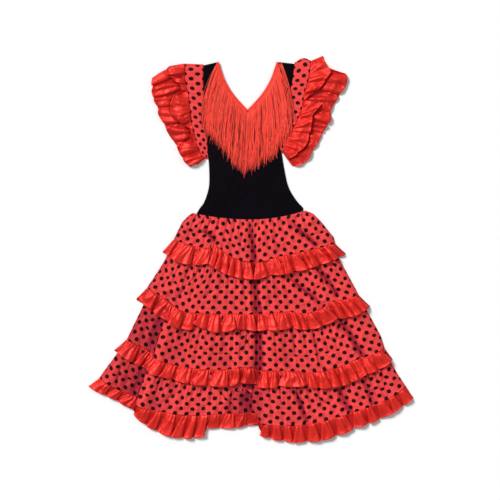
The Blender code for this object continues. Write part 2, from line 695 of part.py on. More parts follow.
def grow_strand(shape, face, root, tip, t, sign, height, widths):
    """Extrudes one strand from a quad of the header's edge: out, down and to its tip."""
    end = face
    bulge = FRINGE_BULGE * (1 - t) ** 2 * sign
    for share, level in ((0.0, 0.0), *FRINGE_STRAND_LEVELS):
        end = bmesh.ops.extrude_discrete_faces(shape, faces=[end])["faces"][0]
        centre = root + (tip - root) * share + np.array([bulge * math.sin(math.pi * share), 0])
        if share == 0:
            centre = root + np.array([sign * FRINGE_ROOT_OUT[0], FRINGE_ROOT_OUT[1]])
        width = widths[0] + (widths[1] - widths[0]) * share
        z = height + FRINGE_STRAND_LIFT * level
        corners = [vert.co.copy() for vert in end.verts]
        middle_x = sum(corner.x for corner in corners) / 4
        middle_z = sum(corner.z for corner in corners) / 4
        for vert, corner in zip(end.verts, corners):
            across = math.copysign(width / 2, corner.x - middle_x)
            up = math.copysign(FRINGE_STRAND_THICKNESS / 2, corner.z - middle_z)
            vert.co = ((centre[0] + across) * MM, centre[1] * MM, (z + up) * MM)


def make_materials():
    """One Principled material for each cloth."""
    for slot, colour in COLOURS.items():
        material = bpy.data.materials.new(slot)
        material.use_nodes = True
        shader = material.node_tree.nodes["Principled BSDF"]
        shader.inputs["Base Color"].default_value = (*colour, 1.0)
        shader.inputs["Roughness"].default_value = ROUGHNESS[slot]
        shader.inputs["Metallic"].default_value = 0.0


def main():
    for old in list(bpy.data.objects):
        bpy.data.objects.remove(old, do_unlink=True)
    bpy.context.scene.collection.children.link(bpy.data.collections.new("flamenco_dress"))
    make_materials()
    build_bodice("bodice_back", FLOOR_LAYER, BACK_NECK_SET_BACK)
    build_bodice("bodice_front", SECOND_LAYER, 0.0)
    for tier in (1, 2, 3, 4):
        build_tier(tier)
        build_skirt_ruffle(tier)
    for side in ("left", "right"):
        build_sleeve(side)
        build_fringe(side)


main()
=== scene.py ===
"""Looks of a girl's flamenco dress that lies flat with its front up.

Lengths are in millimetres and angles in degrees unless a name says otherwise. X runs to the
viewer's right, Y towards the neck and Z up. The skirt is part of a cone laid flat, so a place on it
is a radius and an angle from straight down about one apex above the waist. Each piece of cloth is a
surface of two parameters, across and along the strip that it was cut from, with a fine wall.
"""

import json
import math

import bmesh
import bpy
import mathutils
import numpy as np
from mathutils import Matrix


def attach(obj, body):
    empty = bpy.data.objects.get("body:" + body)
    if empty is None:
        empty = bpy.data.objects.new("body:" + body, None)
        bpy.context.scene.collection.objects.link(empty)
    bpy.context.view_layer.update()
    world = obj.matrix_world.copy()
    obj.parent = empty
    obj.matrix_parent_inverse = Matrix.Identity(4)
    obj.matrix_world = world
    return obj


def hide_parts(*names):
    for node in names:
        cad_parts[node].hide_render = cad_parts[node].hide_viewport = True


bl_info = {
    "name": "Flamenco dress",
    "version": (1, 0, 0),
    "blender": (4, 5, 0),
    "location": "View3D > Sidebar > Dress",
    "description": "Builds the cloth, ruffles, fringe and finishes of a flamenco dress laid flat",
    "category": "Add Mesh",
}

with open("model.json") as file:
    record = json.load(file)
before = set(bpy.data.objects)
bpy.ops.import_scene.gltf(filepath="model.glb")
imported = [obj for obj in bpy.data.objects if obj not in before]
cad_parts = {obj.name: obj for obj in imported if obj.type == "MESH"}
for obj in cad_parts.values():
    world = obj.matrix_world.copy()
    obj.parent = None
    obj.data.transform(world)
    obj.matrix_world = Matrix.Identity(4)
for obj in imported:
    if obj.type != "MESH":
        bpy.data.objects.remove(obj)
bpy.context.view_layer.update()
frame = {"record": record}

MM = 0.001

# Shape of the flat skirt
APEX = (1.2, 406.0)
WAIST_RADIUS = 330.5
WAIST_RISE_LEFT = 13.5
WAIST_RISE_RIGHT = 6.0
WAIST_ANGLE_LEFT = -23.5
WAIST_ANGLE_RIGHT = 23.3
WAIST_TO_LOFT = 34.0
SIDE_DROOP_WIDTH = 2.2
SIDE_INSET = 0.2
SIDE_BULGE = 2.6

# Points of a side fold: their shares of the way between two layers, and the cloth between them
FOLD_SHARES = (0.25, 0.5, 0.75)
FOLD_STEP = 2.0

# Mid-wall heights of the layers above the surface that the dress lies on
BACK_LAYER = 0.6
BODICE_BACK_LEVEL = 0.7
FRONT_ON_BACK = 2.1
BACK_OVER_RUFFLE = 4.2
FRONT_LOWEST = 5.7
FRONT_LOFT = 3.6
FOLD_LOWEST = 2.6
OVER_BACK_RUFFLE = 5.3
TIER_LOWEST = 1.9
HEM_LEVEL = 3.6
LONG_LEVEL = 4.2

# Gaps between mid-walls where a ruffle lies on the piece below it
RUFFLE_ON_TIER = 0.75
SHORT_ON_LONG = 0.8

# Painted shade of folds, sharp and broad: the depth whose shade counts as full and the passes that even
# the height
SHARP_FOLD = 2.8
BROAD_FOLD = 3.4
BROAD_SHARE = 0.6
SHARP_PASSES = 14
BROAD_PASSES = 22
BROAD_STEP = 4

# Side seams of the skirt: radius, left angle, right angle
SIDES = (
    (336, -23.4, 23.3), (344, -24.1, 24.9), (352, -25.2, 26.0), (375, -26.4, 27.2), (425, -26.4, 28.6),
    (482, -26.0, 27.0), (565, -27.0, 27.2), (602, -25.9, 27.2), (700, -25.9, 27.4), (745, -26.4, 26.8),
    (800, -27.1, 26.9), (850, -27.5, 27.3),
)

# Flounce panels of each ruffle between the skirt's large folds: from and to angle, then the radius
# of the seam and of the free edge at the panel's start, middle and end
PANELS = {
    1: (
        (-27.5, -13.6, 426, 421, 415, 465, 470, 452), (-13.6, 6.0, 396, 431, 433, 452, 476, 473),
        (6.0, 29.5, 431, 430, 446, 472, 475, 480),
    ),
    2: (
        (-28.0, -20.0, 565, 566, 573, 597, 609, 618), (-20.0, -13.0, 574, 583, 577, 618, 626, 620),
        (-13.0, -3.5, 577, 571, 565, 606, 616, 601), (-3.5, 10.0, 566, 566, 568, 604, 607, 609),
        (10.0, 20.5, 568, 582, 570, 610, 623, 614), (20.5, 28.5, 571, 580, 584, 615, 626, 622),
    ),
    3: (
        (-27.0, -20.0, 705, 702, 708, 740, 746, 748), (-20.0, -3.0, 717, 715, 703, 755, 753, 746),
        (-3.0, 1.2, 701, 699, 702, 739, 737, 742), (1.2, 11.0, 707, 711, 725, 749, 751, 755),
        (11.0, 22.5, 727, 731, 726, 762, 777, 770), (22.5, 27.5, 731, 733, 733, 771, 773, 766),
    ),
    4: (
        (-28.2, -19.8, 817, 822, 822, 852, 850, 856), (-19.8, -7.5, 844, 837, 825, 866, 893, 878),
        (-7.5, 1.5, 824, 815, 813, 857, 851, 838), (1.5, 16.8, 840, 852, 850, 868, 896, 890),
        (16.8, 27.6, 850, 850, 843, 888, 888, 876),
    ),
}
PANEL_BLEND = 0.35
BACK_SEAM_RISE = {1: 6.0, 2: 8.0, 3: 12.0, 4: 20.0}
RUFFLE_ENDS = {1: (-27.8, 29.5), 2: (-28.1, 28.4), 3: (-27.2, 27.4), 4: (-28.3, 27.5)}

# Large folds of the skirt's front: from angle and radius, to angle and radius, half width and
# rise, which is negative where the fold is a trough
FOLDS = (
    (0.9, 345, 1.7, 560, 9, -4.5), (2.1, 560, 1.8, 720, 12, -6.5), (-1.5, 740, -2.6, 850, 24, -6.0),
    (-3.5, 600, -2.5, 690, 26, 2.5), (4.5, 600, 4.5, 830, 28, 2.5), (16.5, 360, 22.5, 428, 8, -4.0),
    (19.5, 350, 25.0, 420, 16, 3.0), (10.5, 485, 17.5, 562, 8, -2.2), (20.3, 482, 22.4, 560, 9, -4.5),
    (18.0, 490, 19.5, 560, 18, 2.5), (21.0, 640, 22.5, 730, 10, -5.0), (24.5, 640, 25.0, 730, 20, 2.0),
    (8.6, 775, 9.6, 846, 8, -3.0), (16.0, 790, 17.3, 880, 9, -5.5), (21.5, 790, 21.0, 860, 12, -3.0),
    (-22.9, 620, -22.0, 860, 26, -5.5), (-18.6, 620, -18.4, 840, 14, 4.0),
    (-13.4, 390, -17.5, 380, 8, -3.5), (-10.5, 600, -9.5, 700, 24, 2.0),
    (0.0, 740, -1.5, 850, 13, -3.5), (-6.5, 800, -7.6, 880, 12, 2.5),
)

# Painted shade in hollows of the skirt's front: from angle and radius, to angle and radius, half width
# and depth of the painted shade, and the painted shade at its left and right side folds
HOLLOW_PAINTED_SHADE = (
    (-21.4, 590, -21.0, 860, 14, 0.65), (-25.2, 600, -24.2, 850, 22, 0.35),
    (-14.5, 424, -14.5, 446, 12, 0.30), (0.8, 440, 1.0, 488, 9, 0.90), (2.2, 540, 1.6, 740, 8, 0.50),
    (-2.6, 578, -2.4, 612, 8, 0.80), (1.0, 584, 1.2, 616, 9, 0.80), (0.6, 725, 0.0, 855, 28, 0.55),
    (0.4, 738, -1.4, 780, 12, 0.75), (-1.4, 780, -1.6, 865, 10, 0.55), (8.2, 738, 8.2, 758, 20, 0.25),
    (17.8, 582, 18.4, 598, 14, 0.25),
)
SIDE_PAINTED_SHADE = (0.45, 0.25)
SIDE_PAINTED_SHADE_WIDTH = 8.0

# Creases pressed into each tier: from angle and radius, to angle and radius, half width, depth, and
# the lift of the cloth beside it, which is positive on the crease's right and negative on its left
# when one looks from its start to its end
CREASES = {
    1: (
        (0.6, 340, 1.6, 440, 2.2, 2.6, 0.8), (16.5, 350, 22.5, 430, 1.8, 2.2, -1.4),
        (-13.0, 396, -17.5, 379, 2.0, 1.8, 1.0), (7.5, 352, 9.5, 405, 1.6, 1.0, 0.4),
        (-6.0, 350, -8.0, 400, 1.8, 1.0, 0.5), (-19.5, 352, -22.5, 400, 1.8, 1.1, -0.5),
        (12.0, 372, 6.0, 400, 2.0, 0.8, 0.3),
    ),
    2: (
        (1.6, 450, 1.7, 575, 2.6, 3.6, 1.2), (10.3, 480, 17.8, 566, 1.7, 1.7, -1.3),
        (20.0, 476, 22.6, 562, 1.8, 2.0, -1.4), (-16.0, 486, -19.0, 560, 2.2, 1.4, 0.8),
        (-22.5, 484, -23.5, 545, 2.0, 1.3, 0.7), (-8.0, 505, -13.0, 540, 2.2, 0.9, 0.5),
        (-2.5, 485, -1.0, 560, 2.0, 1.4, -0.6), (5.0, 488, 7.5, 530, 2.0, 0.9, 0.4),
    ),
    3: (
        (-20.2, 575, -19.6, 722, 2.4, 3.0, 3.4), (2.2, 590, 1.8, 716, 4.2, 5.0, 1.4),
        (-0.4, 606, -1.6, 660, 1.8, 2.0, -0.8), (9.8, 605, 9.6, 685, 1.4, 1.5, 0.5),
        (14.3, 612, 13.8, 712, 1.4, 1.4, -0.5), (20.8, 618, 22.6, 738, 1.9, 3.0, -2.2),
        (-10.9, 604, -11.2, 700, 1.3, 1.0, 0.4), (-6.0, 640, -3.0, 700, 2.2, 1.1, 0.5),
        (17.5, 660, 21.0, 665, 2.2, 1.2, 0.5),
    ),
    4: (
        (-19.9, 735, -19.7, 850, 2.4, 3.4, 3.8), (0.6, 735, 0.0, 850, 4.0, 4.5, 2.2),
        (-3.4, 750, -4.2, 835, 3.0, 2.0, -0.8), (-6.6, 752, -3.2, 800, 2.4, 1.8, -1.4),
        (8.6, 765, 9.8, 850, 1.6, 2.0, 0.8), (12.3, 790, 14.2, 822, 1.8, 1.6, 0.6),
        (15.8, 770, 17.3, 880, 2.0, 3.2, -2.4), (21.4, 786, 21.0, 862, 2.0, 1.6, 0.7),
        (25.0, 775, 23.8, 850, 2.0, 1.6, 0.8), (-25.0, 750, -24.2, 818, 2.0, 1.4, 0.7),
        (-12.5, 775, -16.5, 830, 2.4, 1.0, 0.5), (-9.0, 810, -4.5, 792, 2.2, 1.4, -0.7),
    ),
}
CREASE_LIFT_WIDTH = 17.0
CREASE_LEAN = 0.45
CREASE_DEPTH = 2.2
CREASE_SPREAD = 1.5
CREASE_HIDES = 0.75
FOLD_DEPTH = 1.5

# A pressed crease runs round each tier, this far above its lower seam, and hides a strip of cloth
PACKING_ABOVE_SEAM = {1: 33.0, 2: 46.0, 3: 41.0, 4: 33.0}
PACKING_HIDDEN = 5.0
PACKING_WIDTH = 4.5
PACKING_DEPTH = 1.1
PACKING_REACH = 2.6
PACKING_WANDER = 9

# Grids: a front's width in radians with the millimetres between points, or rows and columns
TIER_SPAN = 0.93
TIER_ROW_STEP = 2.15
TIER_COLUMN_STEP = 1.75
RUFFLE_SPAN = 0.97
RUFFLE_COLUMN_STEP = 1.55
RUFFLE_ROWS = 22
BAND_ROWS = 16
BAND_COLUMNS = {"front": 150, "back": 50}
BODICE_GRID = (120, 44)

# Gathers below a tier's upper seam: seed, pitch, height, length in which they start and fade
TIER_GATHERS = ((20, 9.5, 2.4, 5, 30), (30, 26.0, 3.6, 8, 80))

# Gathers at a lower seam: height and pitch. A tier's fade within a reach above it
TIER_EDGE_GATHERS = (1.1, 7.0)
TIER_EDGE_REACH = 9
BAND_GATHERS = (0.9, 11.0)

# Heights of the large and of the small crumples
CRUMPLES = {"tier": (2.6, 1.0), "tier_back": (1.0, 0.4), "band": (1.0, 0.5), "bodice": (1.4, 0.5)}

# Slow swell of a tier's front, stray of its print, and the lip that rolls over the ruffle's seam
TIER_SWAY = 5.0
PRINT_DRIFT = 3.5
TIER_LIP = 1.8
LIP_LENGTH = 7.0
LIP_RISE = 1.1
LIP_TURN = 0.9

# Crowns of the skirt's ruffles from left to right: the angle at which each starts, its height and
# its lean to the right. The last row ends the strip.
SKIRT_CROWNS = {
    1: (
        (-27.8, 4.0, 0.2), (-25.9, 7.5, 0.3), (-18.2, 6.0, 0.9), (-13.5, 4.5, 0.0), (-11.2, 3.8, -0.2),
        (-9.5, 4.5, 0.2), (-7.0, 4.0, -0.3), (-5.0, 4.5, 0.3), (-2.6, 5.5, 0.6), (0.9, 7.0, -0.4),
        (5.5, 7.5, 0.3), (10.8, 5.0, -0.5), (13.4, 6.5, 0.3), (17.5, 4.0, 0.4), (19.2, 5.0, -0.6),
        (21.5, 6.0, -0.3), (25.2, 5.0, 0.3), (27.3, 3.5, 0.0), (29.5, 0.0, 0.0),
    ),
    2: (
        (-28.1, 5.5, 0.2), (-23.8, 6.0, 0.4), (-19.5, 6.5, 0.3), (-16.3, 4.5, -0.2), (-13.1, 7.0, -0.9),
        (-10.2, 6.5, 0.1), (-7.2, 8.0, 0.8), (-3.4, 2.0, 0.0), (-1.0, 6.0, 0.5), (1.5, 6.0, -0.4),
        (4.0, 6.0, 0.2), (6.5, 5.5, -0.4), (10.0, 3.5, 0.1), (12.0, 4.0, -0.2), (13.6, 5.0, 0.4),
        (16.5, 6.5, 0.6), (20.6, 4.5, 0.5), (22.8, 4.0, 0.0), (24.4, 4.5, 0.2), (26.2, 5.0, 0.3),
        (28.4, 0.0, 0.0),
    ),
    3: (
        (-27.2, 6.0, 0.2), (-23.0, 3.5, 0.3), (-21.4, 3.0, 0.2), (-19.8, 5.5, -0.6), (-17.5, 4.5, -0.4),
        (-15.0, 6.5, 0.2), (-11.7, 7.0, 0.2), (-8.2, 7.5, 0.3), (-4.2, 5.5, 0.3), (-2.2, 7.0, 0.6),
        (1.2, 4.5, -0.3), (3.6, 3.8, 0.0), (5.3, 8.0, 0.9), (10.8, 3.5, -0.1), (12.8, 5.5, 0.3),
        (15.2, 6.0, -0.4), (17.0, 6.0, 0.2), (18.6, 5.0, 0.3), (20.3, 4.5, 0.3), (22.2, 5.5, -0.3),
        (24.2, 6.0, 0.2), (27.4, 0.0, 0.0),
    ),
    4: (
        (-28.3, 5.0, 0.2), (-25.2, 4.5, 0.3), (-23.2, 6.0, 0.4), (-19.8, 5.5, -0.7), (-17.2, 5.0, 0.2),
        (-15.4, 6.5, 0.3), (-12.8, 5.0, -0.3), (-11.0, 5.5, 0.3), (-9.4, 5.0, 0.8), (-7.5, 3.0, -0.2),
        (-5.3, 4.0, 0.3), (-2.6, 3.5, 0.0), (-0.6, 3.0, 0.0), (1.6, 5.5, -0.7), (3.2, 5.0, 0.2),
        (5.2, 4.0, 0.0), (6.9, 5.5, -0.3), (9.0, 6.0, 0.3), (11.2, 6.0, -0.2), (13.8, 6.0, 0.7),
        (16.8, 6.0, -0.6), (19.4, 5.0, 0.3), (21.2, 5.0, 0.6), (23.7, 5.0, -0.3), (25.6, 4.5, 0.2),
        (27.5, 0.0, 0.0),
    ),
}
BACK_CROWNS = {1: 9, 2: 11, 3: 13, 4: 15}

# How a ruffle's crowns grow from its seam to its free edge
CROWN_GROWTH = 0.75
CROWN_SCALLOP = 0.45
CROWN_SPLAY = 0.45
CROWN_HEIGHT = 1.65
FAN_HEIGHT = 0.60
FAN_PITCH = 13.0
DENT_DEPTH = 0.34
PINCH = 0.15
PINCH_MOST = 4.6
LEAN_REACH = 0.9
SEAM_GATHER_HEIGHT = 1.5
SEAM_GATHER_LENGTH = 9.0
SEAM_GATHER_PITCH = 7.5
EDGE_CURL = 0.9
RUFFLE_CRUMPLES = 0.9
RUFFLE_DEPTH = 43.0
BACK_WAVE = 1.7
RUFFLE_LOWEST = 2.3

# Bodice: the back's neck lies behind the front's, and the front's height is soft
BACK_NECK_SET_BACK = 1.5
BODICE_LOFT = 0.9
BODICE_CRUMPLED = 0.6
BODICE_WAIST_DROP = 0.8

# Bodice rows from the shoulder down: side left x and y, neck left x, neck right x and neck y,
# side right x and y. Below the point of the neck both neck values are the centre line.
NECK_POINT_ROW = 3
UNDERARM_ROW = 8
BODICE = (
    (-116, 460, -80, 69, 468.5, 111, 464), (-116, 424, -65, 53, 424, 106, 424),
    (-115, 384, -42, 30, 386, 99, 394), (-112, 344, -6, -6, 346, 90, 361),
    (-110, 314, -6, -6, 314, 79, 331), (-107, 284, -6, -6, 284, 72, 304),
    (-106, 256, -6, -6, 259, 70, 279), (-105, 239, -6, -6, 241, 72, 259),
    (-104, 229, -6, -6, 226, 78, 244), (-102, 199, -6, -6, 196, 84, 209),
    (-102, 164, -6, -6, 164, 92, 169), (-107, 139, -6, -6, 136, 102, 144),
    (-116, 116, -6, -6, 111, 119, 119), (-125, 104, -6, -6, 91, 132, 105),
)

# Sleeve lines from the shoulder fold to the underarm fold: share of the way, x and y
SLEEVE_BAND = {
    "left": (
        (0.0, -162, 462), (0.125, -161, 424), (0.25, -154, 389), (0.375, -149, 354), (0.5, -146, 319),
        (0.625, -138, 286), (0.75, -129, 254), (0.875, -120, 236), (1.0, -114, 228),
    ),
    "right": (
        (0.0, 152, 469), (0.125, 145, 424), (0.25, 135, 389), (0.375, 129, 354), (0.5, 118, 325),
        (0.625, 104, 298), (0.75, 91, 276), (0.875, 85, 254), (1.0, 83, 243),
    ),
}
SLEEVE_SHORT = {
    "left": (
        (0.0, -205, 455), (0.08, -204, 438), (0.15, -186, 421), (0.21, -170, 404), (0.28, -188, 384),
        (0.38, -195, 356), (0.48, -184, 331), (0.56, -165, 309), (0.62, -148, 301), (0.66, -148, 283),
        (0.75, -170, 257), (0.85, -167, 228), (0.93, -152, 212), (1.0, -130, 213),
    ),
    "right": (
        (0.0, 183, 482), (0.09, 190, 458), (0.15, 197, 441), (0.21, 184, 417), (0.27, 165, 395),
        (0.32, 148, 385), (0.36, 139, 374), (0.41, 162, 370), (0.46, 174, 362), (0.52, 160, 342),
        (0.58, 152, 320), (0.68, 149, 289), (0.78, 140, 266), (0.88, 123, 245), (1.0, 97, 226),
    ),
}
SLEEVE_LONG = {
    "left": (
        (0.0, -245, 426), (0.08, -243, 410), (0.25, -239, 376), (0.34, -231, 358), (0.37, -229, 352),
        (0.4, -229, 345), (0.5, -216, 319), (0.625, -199, 284), (0.75, -180, 255), (0.86, -165, 226),
        (0.95, -151, 211), (1.0, -146, 208),
    ),
    "right": (
        (0.0, 232, 441), (0.06, 241, 436), (0.125, 237, 414), (0.25, 221, 383), (0.37, 201, 345),
        (0.4, 202, 332), (0.46, 193, 313), (0.5, 188, 306), (0.625, 178, 286), (0.75, 157, 249),
        (0.875, 137, 221), (0.95, 118, 209), (1.0, 108, 208),
    ),
}

# Crowns of the sleeves' ruffles: the share of the way at which each starts, its height and its lean
# towards the underarm
SHORT_CROWNS = {
    "left": (
        (0.0, 6.5, 0.3), (0.1, 4.5, 0.5), (0.175, 3.0, 0.0), (0.24, 8.5, 0.2), (0.56, 2.0, 0.0),
        (0.655, 7.5, -0.2), (0.84, 4.5, 0.2), (1.0, 0.0, 0.0),
    ),
    "right": (
        (0.0, 6.5, 0.3), (0.2, 4.0, 0.5), (0.265, 4.0, -0.3), (0.33, 7.5, -0.3), (0.55, 6.0, 0.4),
        (0.68, 7.0, -0.2), (0.9, 4.0, 0.2), (1.0, 0.0, 0.0),
    ),
}
LONG_CROWNS = {
    "left": (
        (0.0, 6.0, 0.5), (0.085, 8.0, 0.4), (0.24, 6.0, -0.3), (0.36, 7.5, 0.5), (0.53, 4.5, 0.3),
        (0.7, 8.0, -0.3), (0.86, 6.0, 0.3), (1.0, 0.0, 0.0),
    ),
    "right": (
        (0.0, 4.0, -0.3), (0.04, 9.0, 0.3), (0.24, 6.0, 0.4), (0.385, 6.5, 0.2), (0.46, 6.0, 0.2),
        (0.6, 5.0, -0.2), (0.75, 7.0, 0.2), (1.0, 0.0, 0.0),
    ),
}
# Hollow of the long ruffle beside the short one's rim, the rim's width and the painted shadow there; then
# the painted shade on each long ruffle: middle share, half width and depth
RIM_HOLLOW = 3.0
RIM_WIDTH = 5.5
RIM_PAINTED_SHADOW = 0.65
LONG_PAINTED_SHADE = {"left": (0.63, 0.08, 0.55), "right": (0.30, 0.05, 0.30)}
SHOULDER_PUFF = {"left": (0.0, 6.0), "right": (9.0, 0.0)}

# What a sleeve's two ruffles differ in, folded being the share of the folds' depth that is painted as
# shade
SLEEVE_RUFFLES = {
    "long": {
        "line": SLEEVE_LONG, "crowns": LONG_CROWNS, "grid": (34, 230), "depth": 80.0, "out": 0.6,
        "puff": 0.45, "pitch": 26.0, "crumpled": 1.6, "curled": EDGE_CURL, "large": 3.2,
        "small": 1.6, "folded": 0.65, "seed": 0, "back": (2.1, 1.6, 0.7),
    },
    "short": {
        "line": SLEEVE_SHORT, "crowns": SHORT_CROWNS, "grid": (24, 210), "depth": 45.0, "out": 0.9,
        "puff": 0.4, "pitch": 19.0, "crumpled": 0.8, "curled": 2.2, "large": 1.4,
        "small": 1.0, "folded": 0.4, "seed": 40, "back": (0.7, 0.7, 0.7),
    },
}
SLEEVE_SEED = {"left": 400, "right": 500}
OUTWARD = {"left": -1, "right": 1}
BAND_DEPTH = 37.0
BAND_FULLNESS = 1.12

# Fringe: tips of the yarns, x and y from the shoulder to the point of the neck
FRINGE_TIPS = {
    "left": ((-108, 300), (-92, 279), (-71, 257), (-46, 221), (-16, 186)),
    "right": ((92, 296), (74, 266), (52, 232), (14, 210), (-9, 190)),
}
FRINGE_SHOULDER = {"left": 0.0, "right": 8.0}
FRINGE_BULGE = 13.0
FRINGE_BULGE_SPREAD = 2.2
FRINGE_TIP_SPREAD = (4.0, 5.5)
FRINGE_WAVE = 1.6
FRINGE_LAYER = 2.2

# Yarns hang in locks whose tips move together, and a share of those near the shoulder stray out
YARNS_IN_LOCK = 4
LOCK_PULL = (9.0, 12.0)
LOCK_LAYER = 1.6
STRAY_SHARE = 0.22
STRAY_UP_TO = 0.4
STRAY_REACH = (5, 24)

# One yarn, and the braid at the roots
YARN_GAP = 0.9
YARN_STATIONS = 15
YARN_SIDES = 5
YARN_END = 0.55
YARN_UV_STEP = 12
BRAID_WIDTH = 5.6
BRAID_OVERHANG = 1.8
BRAID_STRANDS = 5
BRAID_PITCH = 7.0
BRAID_SWAY = 0.45
BRAID_RISE = 0.4
BRAID_GAP = 1.1

# Stage, in metres. A light's name, where it shines from, the angle of its source and its strength
FLOOR_SIZE = 60.0
LIGHTS = (("key", (-1.05, 1.05, 1.5), 20, 3.1), ("fill", (1.3, -0.6, 2.4), 60, 0.25))
ROOM_LIGHT = 0.32
CAMERA_PLACE = (0.0, -0.001, 3.0)
CAMERA_LENS = 86.4
CAMERA_SENSOR = 36.0


def eased(value):
    """A smooth step from 0 to 1 as the value goes from 0 to 1."""
    value = np.clip(value, 0, 1)
    return value * value * (3 - 2 * value)


def fading(length, start, reach):
    """One up to a start, then an exponential that falls off over a reach."""
    return np.exp(-np.maximum(length - start, 0) / reach)


def soft_floor(height, lowest, sharpness):
    """Heights kept above a lowest one: the logarithm of one plus an exponential rounds the turn."""
    return lowest + np.logaddexp(0, sharpness * (height - lowest)) / sharpness


def unit(vectors):
    """The same vectors with a length of one."""
    return vectors / np.maximum(np.linalg.norm(vectors, axis=-1, keepdims=True), 1e-9)


def smooth_line(table):
    """A smooth curve through a table's rows, each a knot followed by the values there.

    Between two knots it is the cubic whose end slopes are the mean slopes beside the knots.
    """
    rows = np.array(table, float)
    knots, values = rows[:, 0], rows[:, 1:]
    slopes = np.gradient(values, knots, axis=0)

    def read(place):
        place = np.clip(np.asarray(place, float), knots[0], knots[-1])
        index = np.clip(np.searchsorted(knots, place, side="right") - 1, 0, len(knots) - 2)
        width = np.diff(knots)[index][..., None]
        t = (place - knots[index])[..., None] / width
        return (
            values[index] * (1 + 2 * t) * (1 - t) ** 2
            + values[index + 1] * t * t * (3 - 2 * t)
            + slopes[index] * width * t * (1 - t) ** 2
            - slopes[index + 1] * width * t * t * (1 - t)
        )

    return read


def arc_lengths(grid, row):
    """Length along one row of a grid, from its first point."""
    steps = np.linalg.norm(np.diff(grid[row], axis=0), axis=1)
    return np.concatenate([[0.0], np.cumsum(steps)])


def value_noise(x, y, seed):
    """Random values from 0 to 1 on a unit lattice, joined by smooth fifth-power steps."""
    lattice = np.random.default_rng(seed).random((97, 89))
    column, row = np.floor(x).astype(int), np.floor(y).astype(int)
    across, along = x - column, y - row
    across = across ** 3 * (across * (across * 6 - 15) + 10)
    along = along ** 3 * (along * (along * 6 - 15) + 10)
    near, far = column % 97, (column + 1) % 97
    low, high = row % 89, (row + 1) % 89
    below = lattice[near, low] * (1 - across) + lattice[far, low] * across
    above = lattice[near, high] * (1 - across) + lattice[far, high] * across
    return below * (1 - along) + above * along


def ridges(x, y, seed):
    """Narrow soft ridges from 0 to 1: one less the distance of warped noise from its middle."""
    warp = value_noise(x * 0.6 + 11, y * 0.6 + 5, seed + 7) - 0.5
    value = value_noise(x + warp * 1.4, y - warp * 1.4, seed)
    return np.exp(-np.abs(value - 0.5) * 9.0)


def wrinkled(x, y, seed, large, small):
    """Crumpled cloth: soft ridges a few centimetres apart with finer ones between them."""
    height = large * (ridges(x / 38, y / 38, seed) - 0.3)
    return height + small * (ridges(x / 15, y / 15, seed + 3) - 0.3)


def gather_wave(lengths, pitch, seed):
    """Small pleats at a gathered seam: a pinched wave whose pitch wanders with noise."""
    wander = value_noise(lengths / (3.5 * pitch), np.full_like(lengths, 0.5), seed)
    phase = np.pi * (lengths / pitch + 2.2 * wander)
    size = 0.45 + 0.9 * value_noise(lengths / (2.2 * pitch), np.full_like(lengths, 3.5), seed + 1)
    return size * (np.abs(np.sin(phase)) ** 0.8 - 0.5)


def evened(grid, closed, passes):
    """A grid whose values are drawn, in each pass, halfway to the mean of their neighbours."""
    for _ in range(passes):
        for edges in ("edge", "wrap" if closed else "edge"):
            wide = np.pad(grid, ((1, 1), (0, 0)), edges)
            grid = ((2 * grid + wide[:-2] + wide[2:]) / 4).T
    return grid


def fold_depth(points, closed):
    """How deep each point lies in folds, from 0 to 1, for the painted shade, and nothing at the seam at
    the top.

    It is the height below the evened height, over a reach of about 6 mm for sharp folds and of
    about 20 mm for broad ones.
    """
    height = points[..., 2]
    near = evened(height, closed, SHARP_PASSES)
    sharp = np.clip((near - height) / SHARP_FOLD, 0, 1)
    far = evened(near[:, ::BROAD_STEP], closed, BROAD_PASSES)
    place = np.arange(height.shape[1]) / BROAD_STEP
    far = np.array([np.interp(place, np.arange(far.shape[1]), row) for row in far])
    broad = np.clip((far - near) / BROAD_FOLD, 0, 1)
    from_seam = eased(np.arange(len(height)) / 4)[:, None]
    return (1 - (1 - sharp) * (1 - BROAD_SHARE * broad)) * from_seam


def mesh_object(name, points, faces, uv, depth, material):
    """A smooth object from points in millimetres, with its cut's map and how deep it is in folds, as the
    attribute that paints shade.
    """
    mesh = bpy.data.meshes.new(name)
    mesh.from_pydata((points.reshape(-1, 3) * MM).tolist(), [], faces)
    mesh.uv_layers.new(name="cut").uv.foreach_set("vector", (uv * MM).ravel())
    mesh.attributes.new("fold", "FLOAT", "POINT").data.foreach_set("value", depth.ravel())
    mesh.shade_smooth()
    mesh.materials.append(material)
    piece = bpy.data.objects.new(name, mesh)
    bpy.context.scene.collection.objects.link(piece)
    return piece


def cloth_object(name, points, across, along, cloth, closed, painted_shade=0.0, folded=1.0):
    """A sheet of cloth from a grid of mid-wall points, with the cut's own lengths as its UV map.

    points is rows by columns by three. across and along are the same grid in millimetres of flat
    cloth. cloth is its material and thickness. A closed grid joins its last column to its first.
    The last two arguments are the shade painted besides its folds and the share of the folds' depth that
    is painted as shade.
    """
    rows, columns = points.shape[:2]
    count = columns if closed else columns - 1
    row, column = np.meshgrid(np.arange(rows - 1), np.arange(count), indexing="ij")
    corners = [(row, column), (row + 1, column), (row + 1, column + 1), (row, column + 1)]
    faces = np.stack([r * columns + c % columns for r, c in corners], -1).reshape(-1, 4)
    wide = np.concatenate([across, across[:, -1:] * 2 - across[:, -2:-1]], 1)
    long = np.concatenate([along, along[:, -1:]], 1)
    uv = np.stack([np.stack([wide[r, c], long[r, c]], -1) for r, c in corners], 2)
    # Painted shade: the folds' depth and the painted shade of hollows, sides and rims, as the fold
    # attribute.
    depth = 1 - (1 - folded * fold_depth(points, closed)) * (1 - painted_shade)
    piece = mesh_object(name, points, faces.tolist(), uv, depth, cloth[0])
    wall = piece.modifiers.new("wall", "SOLIDIFY")
    wall.thickness = cloth[1]
    wall.offset = 0.0
    wall.use_rim = True
    return piece


